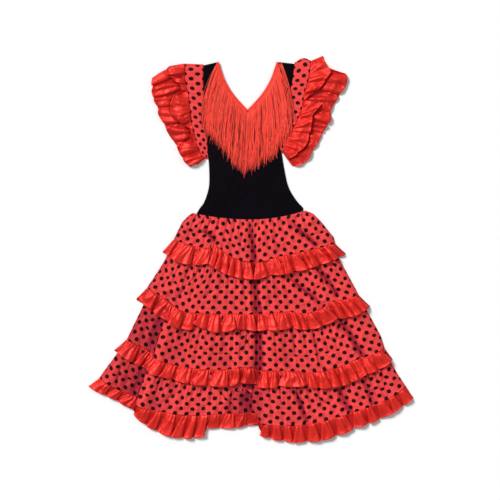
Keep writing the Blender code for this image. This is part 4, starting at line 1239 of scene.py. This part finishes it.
def yarn_mesh(name, centres, diameter, yarn_shade_depths, material):
    """Tubes round many centre lines at once: a ring of points at each station of each line.

    centres is yarns by stations by three. A ring lies square to its line and narrows at the ends.
    The fourth argument is how deep each yarn lies in the fringe, yarns by stations, from 0 to 1, for its
    painted shade.
    """
    yarns, stations = centres.shape[:2]
    forward = unit(np.gradient(centres, axis=1))
    aside = unit(np.cross(forward, (0.0, 0.0, 1.0)))
    upward = np.cross(aside, forward)
    turn = 2 * np.pi * np.arange(YARN_SIDES) / YARN_SIDES
    narrow = np.ones(stations)
    narrow[[0, -1]] = YARN_END
    size = (diameter / 2 * narrow)[None, :, None, None]
    around = aside[:, :, None] * np.cos(turn)[:, None] + upward[:, :, None] * np.sin(turn)[:, None]
    points = centres[:, :, None] + around * size
    yarn, station, side = np.meshgrid(
        np.arange(yarns), np.arange(stations - 1), np.arange(YARN_SIDES), indexing="ij")
    corners = [(station, side), (station + 1, side), (station + 1, side + 1), (station, side + 1)]
    faces = np.stack([(yarn * stations + s) * YARN_SIDES + r % YARN_SIDES for s, r in corners], -1)
    first = np.arange(yarns)[:, None] * stations * YARN_SIDES
    start_caps = first + np.arange(YARN_SIDES)
    end_caps = first + (stations - 1) * YARN_SIDES + np.arange(YARN_SIDES)[::-1]
    steps = np.linalg.norm(np.diff(centres, axis=1), axis=2)
    length = np.concatenate([np.zeros((yarns, 1)), np.cumsum(steps, axis=1)], 1)
    uv = np.zeros((faces.size + start_caps.size + end_caps.size, 2))
    girth = np.stack([r for _, r in corners], -1) * diameter * np.pi / YARN_SIDES
    uv[:faces.size, 0] = (girth + YARN_UV_STEP * yarn[..., None]).ravel()
    uv[:faces.size, 1] = np.stack([length[yarn, s] for s, _ in corners], -1).ravel()
    faces = faces.reshape(-1, 4).tolist() + start_caps.tolist() + end_caps.tolist()
    return mesh_object(name, points, faces, uv, np.repeat(yarn_shade_depths.ravel(), YARN_SIDES), material)


def build_braid(side, top, diameter, material):
    """The fringe's header: yarns along the neck's edge that weave from side to side as sines."""
    sign = -1 if side == "left" else 1
    t = np.linspace(0.0, 1.0, 150)
    line = neck_line(side)(t)
    length = arc_lengths(np.column_stack([line, 0 * t])[None], 0)
    ahead = unit(np.gradient(line, axis=0))
    inward = np.stack([-sign * ahead[:, 1], sign * ahead[:, 0]], -1)
    centres = []
    for strand in range(BRAID_STRANDS):
        phase = 2 * math.pi * strand / 3 + strand
        offset = -BRAID_OVERHANG + BRAID_WIDTH * strand / (BRAID_STRANDS - 1)
        offset = offset + BRAID_SWAY * np.sin(2 * np.pi * length / BRAID_PITCH + phase)
        plan = line + inward * offset[:, None]
        weave = BRAID_RISE * np.cos(2 * np.pi * length / BRAID_PITCH + phase)
        rise = BRAID_GAP + diameter / 2 + weave
        centres.append(np.column_stack([plan, top.read(plan[:, 0], plan[:, 1]) + rise]))
    centres = np.array(centres)
    return yarn_mesh(f"braid_{side}", centres, diameter, np.zeros(centres.shape[:2]), material)


def build_fringe(side, top, yarns, diameter, material):
    """Loose yarns from one side of the neck, in layers; the narrow braid at their roots is built apart."""
    sign = -1 if side == "left" else 1
    draw = np.random.default_rng(710 if side == "left" else 720)
    t = np.sort(np.clip((np.arange(yarns) + draw.uniform(-0.9, 0.9, yarns)) / yarns, 0.004, 0.996))
    neck = neck_line(side)(t)
    root = neck + np.stack([sign * 2.4 * (1 - t), -2.2 - 0.6 * t], -1)
    tips = np.array(FRINGE_TIPS[side], float)
    group = np.floor(t * yarns / YARNS_IN_LOCK).astype(int)
    pull = draw.uniform(-0.5, 0.5, (yarns, 3))[group]
    knots = np.linspace(0, 1, len(tips))
    end = smooth_line(np.column_stack([knots, tips]))(t)
    end[:, 0] += draw.normal(0, FRINGE_TIP_SPREAD[0], yarns)
    end[:, 1] += draw.normal(0, FRINGE_TIP_SPREAD[1], yarns)
    stray = (draw.random(yarns) < STRAY_SHARE) & (t < STRAY_UP_TO)
    end[:, 0] += sign * stray * draw.uniform(*STRAY_REACH, yarns)
    root[:, 0] += sign * FRINGE_SHOULDER[side] * np.clip(1 - t / 0.05, 0, 1)
    end[:, 0] += LOCK_PULL[0] * pull[:, 0]
    end[:, 1] += LOCK_PULL[1] * pull[:, 1]
    share = np.linspace(0, 1, YARN_STATIONS)[None, :, None]
    plan = root[:, None] * (1 - share) + end[:, None] * share
    bow = FRINGE_BULGE * (1 - t) ** 2 * sign + draw.normal(0, FRINGE_BULGE_SPREAD, yarns)
    along = share[..., 0]
    plan[..., 0] += bow[:, None] * np.sin(np.pi * along)
    phase = draw.uniform(0, 2 * np.pi, (yarns, 2))
    beat = draw.uniform(1.4, 3.4, yarns)
    plan[..., 0] += FRINGE_WAVE * np.sin(2 * np.pi * beat[:, None] * along + phase[:, :1]) * along
    layer = draw.uniform(0, FRINGE_LAYER, yarns) + LOCK_LAYER * (pull[:, 2] + 0.5)
    rise = layer[:, None] * eased(along / 0.12) + 0.45 * np.sin(5 * along + phase[:, 1:])
    ground = top.read(plan[..., 0], plan[..., 1])
    ground = np.maximum(ground, np.minimum(ground.max(axis=1, keepdims=True), FRONT_ON_BACK))
    height = ground + YARN_GAP + diameter / 2 + rise * eased(along / 0.06)
    centres = np.concatenate([plan, height[..., None]], -1)
    # Painted shade on the lower yarns, where the upper ones would shade them.
    yarn_shade_depths = np.clip(1.15 - layer / 1.9, 0, 1)[:, None] * eased(along / 0.25)
    return yarn_mesh(f"yarns_{side}", centres, diameter, yarn_shade_depths, material)


class Nodes:
    """Adds nodes to a tree. A value for an input is a number, a tuple or a socket to link."""

    def __init__(self, tree):
        self.tree = tree

    def feed(self, socket, value):
        """Sets or links one input, or leaves it where the value is None."""
        if isinstance(value, (int, float, tuple)):
            socket.default_value = value
        elif value is not None:
            self.tree.links.new(value, socket)

    def add(self, kind, *values, settings=(), **named):
        """A node of one kind, its inputs fed in order or by label."""
        node = self.tree.nodes.new("ShaderNode" + kind)
        for name, value in dict(settings).items():
            setattr(node, name, value)
        for socket, value in zip(node.inputs, values):
            self.feed(socket, value)
        for label, value in named.items():
            self.feed(node.inputs[label.replace("_", " ")], value)
        return node

    def math(self, operation, *values):
        """Output of a Math node."""
        return self.add("Math", *values, settings={"operation": operation}).outputs[0]

    def vector(self, operation, *values, **named):
        """Outputs of a Vector Math node."""
        return self.add("VectorMath", *values, settings={"operation": operation}, **named).outputs

    def noise(self, **named):
        """Value of a Noise node."""
        return self.add("TexNoise", **named).outputs["Fac"]

    def mix(self, factor, first, second, blend="MIX"):
        """Colour from two colours."""
        settings = {"data_type": "RGBA", "blend_type": blend}
        return self.add("Mix", factor, *[None] * 5, first, second, settings=settings).outputs[2]


class Group(Nodes):
    """A shared node group. An input's kind follows its value: None a vector, a tuple a colour."""

    def __init__(self, name, outputs, **inputs):
        super().__init__(bpy.data.node_groups.new(name, "ShaderNodeTree"))
        kinds = {type(None): "Vector", float: "Float", tuple: "Color"}
        for label, value in inputs.items():
            kind = "NodeSocket" + kinds[type(value)]
            socket = self.tree.interface.new_socket(label, in_out="INPUT", socket_type=kind)
            if value is not None:
                socket.default_value = value
        for label in outputs:
            kind = "NodeSocketColor" if label == "Colour" else "NodeSocketFloat"
            self.tree.interface.new_socket(label, in_out="OUTPUT", socket_type=kind)
        self.given = self.tree.nodes.new("NodeGroupInput").outputs
        self.result = self.tree.nodes.new("NodeGroupOutput").inputs


def dot_lattice_group():
    """Round dots on a square lattice with one more in the middle of each square.

    The mask is one inside a dot's radius and falls smoothly to nought over the softness.
    """
    dots = Group("dot_lattice", ["Mask"], Cut=None, Pitch=0.027, Diameter=0.0107, Softness=0.0005)
    raised = dots.vector("ADD", dots.given["Cut"], (0.0, 0.0015, 0.0))[0]
    inverse = dots.math("DIVIDE", 1.0, dots.given["Pitch"])
    cell = dots.vector("SCALE", raised, Scale=inverse)[0]
    nearest = []
    for shift in ((0.0, 0.0, 0.0), (0.5, 0.5, 0.0)):
        inside = dots.vector("FRACTION", dots.vector("ADD", cell, shift)[0])[0]
        centred = dots.vector("SUBTRACT", inside, (0.5, 0.5, 0.0))[0]
        nearest.append(dots.vector("LENGTH", centred)["Value"])
    away = dots.math("MULTIPLY", dots.math("MINIMUM", *nearest), dots.given["Pitch"])
    radius = dots.math("MULTIPLY", dots.given["Diameter"], 0.5)
    over = dots.math("DIVIDE", dots.math("SUBTRACT", radius, away), dots.given["Softness"])
    step = dots.add("MapRange", Value=over, From_Min=-0.5, From_Max=0.5,
                    settings={"interpolation_type": "SMOOTHSTEP"})
    dots.feed(dots.result["Mask"], step.outputs["Result"])


def weave_group():
    """A plain weave: one sine along the cut's width times one along its length, with a little fuzz."""
    weave = Group("cloth_weave", ["Height"], Cut=None, Threads=2200.0, Fuzz=0.4)
    turned = weave.vector("SCALE", weave.given["Cut"], Scale=weave.given["Threads"])[0]
    split = weave.add("SeparateXYZ", turned).outputs
    waves = [weave.math("SINE", weave.math("MULTIPLY", split[axis], math.tau)) for axis in "XY"]
    cross = weave.math("MULTIPLY", *waves)
    noise = weave.noise(Vector=weave.given["Cut"], Scale=900.0, Detail=3.0)
    fuzz = weave.math("MULTIPLY", noise, weave.given["Fuzz"])
    height = weave.math("ADD", weave.math("MULTIPLY", cross, 0.5), fuzz)
    weave.feed(weave.result["Height"], height)


def tone_group():
    """Slow and quick changes of tone over a cloth: the colour is scaled by one plus the noise."""
    tone = Group("cloth_tone", ["Colour", "Tone"], Colour=(0.8, 0.1, 0.1, 1.0), Place=None,
                 Scale=30.0, Amount=0.12)
    noise = tone.noise(Vector=tone.given["Place"], Scale=tone.given["Scale"], Detail=4.0, Roughness=0.6)
    swing = tone.math("MULTIPLY", tone.math("SUBTRACT", noise, 0.5), tone.given["Amount"])
    factor = tone.math("ADD", tone.math("MULTIPLY", swing, 2.0), 1.0)
    tone.feed(tone.result["Colour"], tone.vector("SCALE", tone.given["Colour"], Scale=factor)[0])
    tone.feed(tone.result["Tone"], noise)


def stitch_group():
    """A line of stitches at one distance from the free edge: dashes along the width of the cut."""
    line = Group("stitch_line", ["Mask"], Cut=None, Distance=0.0035, Length=0.003, Width=0.0005)
    split = line.add("SeparateXYZ", line.given["Cut"]).outputs
    away = line.math("ABSOLUTE", line.math("SUBTRACT", split["Y"], line.given["Distance"]))
    on_line = line.math("LESS_THAN", away, line.given["Width"])
    along = line.math("FRACT", line.math("DIVIDE", split["X"], line.given["Length"]))
    on_stitch = line.math("LESS_THAN", along, 0.74)
    line.feed(line.result["Mask"], line.math("MULTIPLY", on_line, on_stitch))


def fold_group():
    """Painted shade in a cloth's folds: its colour times a shade, by the depth of the fold."""
    fold = Group("fold_shade", ["Colour"], Colour=(0.8, 0.1, 0.1, 1.0), Fold=0.0,
                 Shade=(0.4, 0.2, 0.2, 1.0), Amount=1.0)
    factor = fold.math("MULTIPLY", fold.given["Fold"], fold.given["Amount"])
    fold.feed(fold.result["Colour"],
              fold.mix(factor, fold.given["Colour"], fold.given["Shade"], "MULTIPLY"))


def crumple_group():
    """Soft crumples of pressed cloth: distorted noise, smooth and of two sizes."""
    soft = Group("soft_crumple", ["Height"], Place=None, Scale=30.0, Fine=0.25)
    large, small = (
        soft.noise(Vector=soft.given["Place"], Scale=soft.math("MULTIPLY", soft.given["Scale"], factor),
                   Detail=1.0, Roughness=0.4, Distortion=1.2)
        for factor in (1.0, 2.7))
    fine = soft.math("MULTIPLY", small, soft.given["Fine"])
    soft.feed(soft.result["Height"], soft.math("ADD", large, fine))


class Cloth(Nodes):
    """A Principled material for one cloth, with the shared groups placed on it by name."""

    def __init__(self, name, **constants):
        self.material = bpy.data.materials.new(name)
        self.material.use_nodes = True
        super().__init__(self.material.node_tree)
        self.shader = self.tree.nodes["Principled BSDF"].inputs
        for label, value in constants.items():
            self.shader[label.replace("_", " ")].default_value = value
        self.cut = self.add("UVMap", settings={"uv_map": "cut"}).outputs["UV"]
        self.place = self.add("TexCoord").outputs["Object"]
        # The fold attribute carries the painted shade of folds, hollows and rims.
        self.fold = self.add("Attribute", settings={"attribute_name": "fold"}).outputs["Fac"]

    def group(self, name, **values):
        """Outputs of a shared group, placed with its own values."""
        return self.add("Group", settings={"node_tree": bpy.data.node_groups[name]}, **values).outputs

    def tone(self, colour, place, scale, amount):
        """Outputs of the tone group on one of the dress's colours."""
        return self.group("cloth_tone", Colour=(*colour, 1.0), Place=place, Scale=scale, Amount=amount)

    def folded(self, colour, shade):
        """Feeds the base colour, with painted shade in the folds."""
        shaded = self.group("fold_shade", Colour=colour, Fold=self.fold, Shade=(*shade, 1.0), Amount=1.0)
        self.feed(self.shader["Base Color"], shaded["Colour"])

    def relief(self, scale, fine, height, threads, fuzz, thread, strength):
        """Feeds the normal: crumples of a scale and height, with threads by the metre over them."""
        crumple = self.group("soft_crumple", Place=self.place, Scale=scale, Fine=fine)["Height"]
        under = self.add("Bump", Height=crumple, Distance=height, Strength=1.0).outputs["Normal"]
        weave = self.group("cloth_weave", Cut=self.cut, Threads=threads, Fuzz=fuzz)["Height"]
        over = self.add("Bump", Height=weave, Distance=thread, Strength=strength, Normal=under)
        self.feed(self.shader["Normal"], over.outputs["Normal"])


def make_dotted_cloth(sizes, colours):
    """Thin coral cloth, printed with round dots, crumpled and softly matt, with painted shade in its
    folds.
    """
    cloth = Cloth("dot_print", Roughness=0.65, Sheen_Weight=0.0, Sheen_Roughness=0.4,
                  Specular_IOR_Level=0.08)
    tone = cloth.tone(colours.dotted_cloth, cloth.place, 16.0, 0.10)
    dots = cloth.group("dot_lattice", Cut=cloth.cut, Pitch=sizes.dot_pitch, Diameter=sizes.dot_diameter,
                       Softness=0.0008)
    # Painted shade in the folds and hollows, by the fold attribute.
    cloth.folded(cloth.mix(dots["Mask"], tone["Colour"], (*colours.dots, 1.0)), (0.26, 0.08, 0.40))
    cloth.relief(scale=30.0, fine=0.25, height=0.004, threads=1900.0, fuzz=0.5, thread=0.00004,
                 strength=0.6)


def make_ruffle_satin(colours):
    """Red-orange satin: smoother, with a soft gloss, fine crumples, a stitched hem and painted shade in
    its folds.
    """
    cloth = Cloth("flounce_satin", Roughness=0.45, Sheen_Weight=0.10, Sheen_Roughness=0.3,
                  Specular_IOR_Level=0.35, Metallic=0.42)
    tone = cloth.tone(colours.ruffle_satin, cloth.place, 22.0, 0.10)
    stitches = cloth.group("stitch_line", Cut=cloth.cut, Distance=0.0035, Length=0.003, Width=0.0004)
    colour = cloth.mix(stitches["Mask"], tone["Colour"], (*colours.stitches, 1.0))
    # Painted shade in the folds, hollows and beside rims, by the fold attribute.
    cloth.folded(colour, (0.50, 0.04, 0.04))
    cloth.relief(scale=30.0, fine=0.2, height=0.0022, threads=3000.0, fuzz=0.3, thread=0.00002,
                 strength=0.5)
    rough = cloth.add("MapRange", Value=tone["Tone"], To_Min=0.40, To_Max=0.54)
    cloth.feed(cloth.shader["Roughness"], rough.outputs["Result"])


def make_bodice_velvet(colours):
    """Black stretch velvet: matt, with a short nap that catches a little light."""
    cloth = Cloth("napped_velvet", Roughness=0.9, Sheen_Weight=0.05, Sheen_Roughness=0.5,
                  Specular_IOR_Level=0.04, Sheen_Tint=(0.30, 0.26, 0.32, 1.0))
    tone = cloth.tone(colours.bodice_velvet, cloth.place, 14.0, 0.5)
    cloth.feed(cloth.shader["Base Color"], tone["Colour"])
    cloth.relief(scale=14.0, fine=0.3, height=0.006, threads=1400.0, fuzz=1.5, thread=0.0001,
                 strength=0.8)


def make_fringe_yarn(colours):
    """Silky twisted yarn, bright red-orange, with painted shade where it lies deep: a sine turns round it.
    """
    cloth = Cloth("silky_yarn", Roughness=0.45, Sheen_Weight=0.35, Sheen_Roughness=0.35,
                  Specular_IOR_Level=0.4)
    # Painted shade on the yarns that lie deep.
    cloth.folded(cloth.tone(colours.fringe_yarn, cloth.cut, 70.0, 0.75)["Colour"], (0.20, 0.05, 0.08))
    split = cloth.add("SeparateXYZ", cloth.cut).outputs
    around = cloth.math("MULTIPLY", split["X"], 3000.0)
    turn = cloth.math("ADD", around, cloth.math("MULTIPLY", split["Y"], 2400.0))
    twist = cloth.add("Bump", Height=cloth.math("SINE", turn), Distance=0.0001, Strength=1.0)
    cloth.feed(cloth.shader["Normal"], twist.outputs["Normal"])


def make_floor():
    """A plain, matt, near-white surface."""
    material = bpy.data.materials.new("pale_floor")
    material.use_nodes = True
    shader = material.node_tree.nodes["Principled BSDF"].inputs
    shader["Base Color"].default_value = (0.93, 0.93, 0.93, 1.0)
    shader["Roughness"].default_value = 0.9
    shader["Specular IOR Level"].default_value = 0.1
    return material


class DressSizes(bpy.types.PropertyGroup):
    """Sizes of the cloth, print and yarn."""

    cloth_thickness: bpy.props.FloatProperty(
        name="Cloth thickness", description="Wall of the skirt's and sleeves' cloth",
        default=0.0005, unit="LENGTH")
    velvet_thickness: bpy.props.FloatProperty(
        name="Velvet thickness", description="Wall of the bodice's velvet",
        default=0.0008, unit="LENGTH")
    dot_diameter: bpy.props.FloatProperty(
        name="Dot diameter", description="Diameter of the printed dots", default=0.0107, unit="LENGTH")
    dot_pitch: bpy.props.FloatProperty(
        name="Dot pitch", description="Distance between dots in one row", default=0.027, unit="LENGTH")
    yarns: bpy.props.IntProperty(
        name="Yarns", description="Yarns on each side of the neck", default=200)
    yarn_diameter: bpy.props.FloatProperty(
        name="Yarn diameter", description="Diameter of one yarn", default=0.0016, unit="LENGTH")


def slot_colour(slot):
    """Base colour of one of the record's materials."""
    for row in frame["record"]["materials"]:
        if row["slot"] == slot:
            return tuple(row["base_color"])
    raise KeyError(slot)


def deeper(colour, red, rest):
    """A red with its red and its other two parts scaled, because its gloss adds white to it."""
    return colour[0] * red, colour[1] * rest, colour[2] * rest


class DressColours(bpy.types.PropertyGroup):
    """Colours of the cloths, linear."""

    dotted_cloth: bpy.props.FloatVectorProperty(
        name="Dotted cloth", description="Ground of the dotted cloth", subtype="COLOR", size=3,
        default=deeper(slot_colour("dotted_cloth"), 1.03, 1.0))
    dots: bpy.props.FloatVectorProperty(
        name="Dots", description="Printed dots", subtype="COLOR", size=3,
        default=(0.024, 0.0008, 0.003))
    ruffle_satin: bpy.props.FloatVectorProperty(
        name="Satin", description="Satin of the ruffles", subtype="COLOR", size=3,
        default=deeper(slot_colour("ruffle_satin"), 0.90, 0.6))
    stitches: bpy.props.FloatVectorProperty(
        name="Stitches", description="Thread of the ruffles' hems", subtype="COLOR", size=3,
        default=(0.42, 0.014, 0.010))
    bodice_velvet: bpy.props.FloatVectorProperty(
        name="Velvet", description="Velvet of the bodice", subtype="COLOR", size=3,
        default=deeper(slot_colour("bodice_velvet"), 0.6, 0.6))
    fringe_yarn: bpy.props.FloatVectorProperty(
        name="Fringe", description="Yarn of the fringe", subtype="COLOR", size=3,
        default=deeper(slot_colour("fringe_yarn"), 1.05, 0.72))


class DRESS_OT_materials(bpy.types.Operator):
    """Makes the shared node groups and the four cloths"""

    bl_idname = "dress.materials"
    bl_label = "Make the cloths"

    def execute(self, context):
        groups = (dot_lattice_group, weave_group, tone_group, stitch_group, fold_group, crumple_group)
        for build in groups:
            build()
        sizes, colours = context.scene.dress_sizes, context.scene.dress_colours
        make_dotted_cloth(sizes, colours)
        make_ruffle_satin(colours)
        make_bodice_velvet(colours)
        make_fringe_yarn(colours)
        return {"FINISHED"}


class DRESS_OT_bodice(bpy.types.Operator):
    """Builds the front and back bodice panels and the fringe on the front's neck"""

    bl_idname = "dress.bodice"
    bl_label = "Bodice and fringe"

    def execute(self, context):
        sizes = context.scene.dress_sizes
        velvet = bpy.data.materials["napped_velvet"], sizes.velvet_thickness
        yarn = bpy.data.materials["silky_yarn"]
        back, _ = build_bodice("bodice_back_panel", BODICE_BACK_LEVEL, BACK_NECK_SET_BACK, 201,
                               velvet)
        front, points = build_bodice("bodice_front_panel", FRONT_ON_BACK, 0.0, 202, velvet)
        dress_piece(back, "bodice_back")
        dress_piece(front, "bodice_front")
        top = TopMap((points, band_front("left"), band_front("right")), 2)
        diameter = sizes.yarn_diameter / MM
        for side in ("left", "right"):
            fringe = build_fringe(side, top, sizes.yarns, diameter, yarn)
            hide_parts(f"fringe_{side}")
            for trim in (fringe, build_braid(side, top, diameter, yarn)):
                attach(trim, "root")
        return {"FINISHED"}


def skirt_cloths(context):
    """Material and thickness of the dotted cloth and of the satin."""
    thickness = context.scene.dress_sizes.cloth_thickness
    return [(bpy.data.materials[name], thickness) for name in ("dot_print", "flounce_satin")]


class DRESS_OT_sleeves(bpy.types.Operator):
    """Builds each sleeve: a dotted band, a long satin ruffle and a short one over it"""

    bl_idname = "dress.sleeves"
    bl_label = "Sleeves"

    def execute(self, context):
        dotted, satin = skirt_cloths(context)
        for side in ("left", "right"):
            band = build_band(side, dotted)
            long, points = build_sleeve_ruffle(side, "long", None, satin)
            short, _ = build_sleeve_ruffle(side, "short", TopMap([points], 2), satin)
            dress_piece(band, f"sleeve_band_{side}")
            dress_piece(long, f"sleeve_ruffle_lower_{side}")
            dress_piece(short, f"sleeve_ruffle_upper_{side}")
        return {"FINISHED"}


class DRESS_OT_skirt(bpy.types.Operator):
    """Builds the skirt: four dotted tiers, each with a satin ruffle at its lower seam"""

    bl_idname = "dress.skirt"
    bl_label = "Skirt"

    def execute(self, context):
        dotted, satin = skirt_cloths(context)
        tiers = {tier: build_tier(tier, dotted) for tier in (1, 2, 3, 4)}
        for tier, (piece, _) in tiers.items():
            lower, points = tiers.get(tier + 1, (None, None))
            under = TopMap([points], 1) if lower else None
            ruffle = build_skirt_ruffle(tier, under, satin)
            dress_piece(piece, f"skirt_tier_{tier}")
            dress_piece(ruffle, f"skirt_ruffle_{tier}")
        return {"FINISHED"}


def sun_light(name, from_place, angle, strength):
    """An even soft light that shines from a direction, with the angle that its source fills."""
    data = bpy.data.lights.new(name, "SUN")
    data.angle = math.radians(angle)
    data.energy = strength
    light = bpy.data.objects.new(name, data)
    light.location = from_place
    light.rotation_euler = mathutils.Vector(from_place).to_track_quat("Z", "Y").to_euler()
    bpy.context.scene.collection.objects.link(light)


class DRESS_OT_stage(bpy.types.Operator):
    """Lays out the floor, the soft lights and the camera above the dress"""

    bl_idname = "dress.stage"
    bl_label = "Floor, lights and camera"

    def execute(self, context):
        bpy.ops.mesh.primitive_plane_add(size=FLOOR_SIZE, location=(0.0, 0.0, 0.0))
        floor = context.active_object
        floor.name = "floor"
        floor.data.materials.append(make_floor())
        for name, *values in LIGHTS:
            sun_light(name, *values)
        world = bpy.data.worlds.new("soft_room")
        world.use_nodes = True
        air = world.node_tree.nodes["Background"].inputs
        air["Color"].default_value = (1.0, 1.0, 1.0, 1.0)
        air["Strength"].default_value = ROOM_LIGHT
        context.scene.world = world
        data = bpy.data.cameras.new("above")
        data.lens = CAMERA_LENS
        data.sensor_width = CAMERA_SENSOR
        camera = bpy.data.objects.new("above", data)
        camera.location = CAMERA_PLACE
        context.scene.collection.objects.link(camera)
        context.scene.camera = camera
        context.scene.view_settings.view_transform = "Standard"
        return {"FINISHED"}


class DRESS_PT_panel(bpy.types.Panel):
    """Sizes, colours and build steps of the dress"""

    bl_idname = "DRESS_PT_panel"
    bl_label = "Flamenco dress"
    bl_space_type = "VIEW_3D"
    bl_region_type = "UI"
    bl_category = "Dress"

    def draw(self, context):
        for group in (context.scene.dress_sizes, context.scene.dress_colours):
            for name in group.__annotations__:
                self.layout.prop(group, name)
        for step in STEPS:
            self.layout.operator(step.bl_idname)


STEPS = (DRESS_OT_materials, DRESS_OT_bodice, DRESS_OT_sleeves, DRESS_OT_skirt, DRESS_OT_stage)
CLASSES = (DressSizes, DressColours, *STEPS, DRESS_PT_panel)


def register():
    for made in CLASSES:
        bpy.utils.register_class(made)
    bpy.types.Scene.dress_sizes = bpy.props.PointerProperty(type=DressSizes)
    bpy.types.Scene.dress_colours = bpy.props.PointerProperty(type=DressColours)


def unregister():
    del bpy.types.Scene.dress_colours
    del bpy.types.Scene.dress_sizes
    for made in reversed(CLASSES):
        bpy.utils.unregister_class(made)


def main():
    register()
    bpy.ops.dress.materials()
    bpy.ops.dress.bodice()
    bpy.ops.dress.sleeves()
    bpy.ops.dress.skirt()
    bpy.ops.dress.stage()


if __name__ == "__main__":
    main()
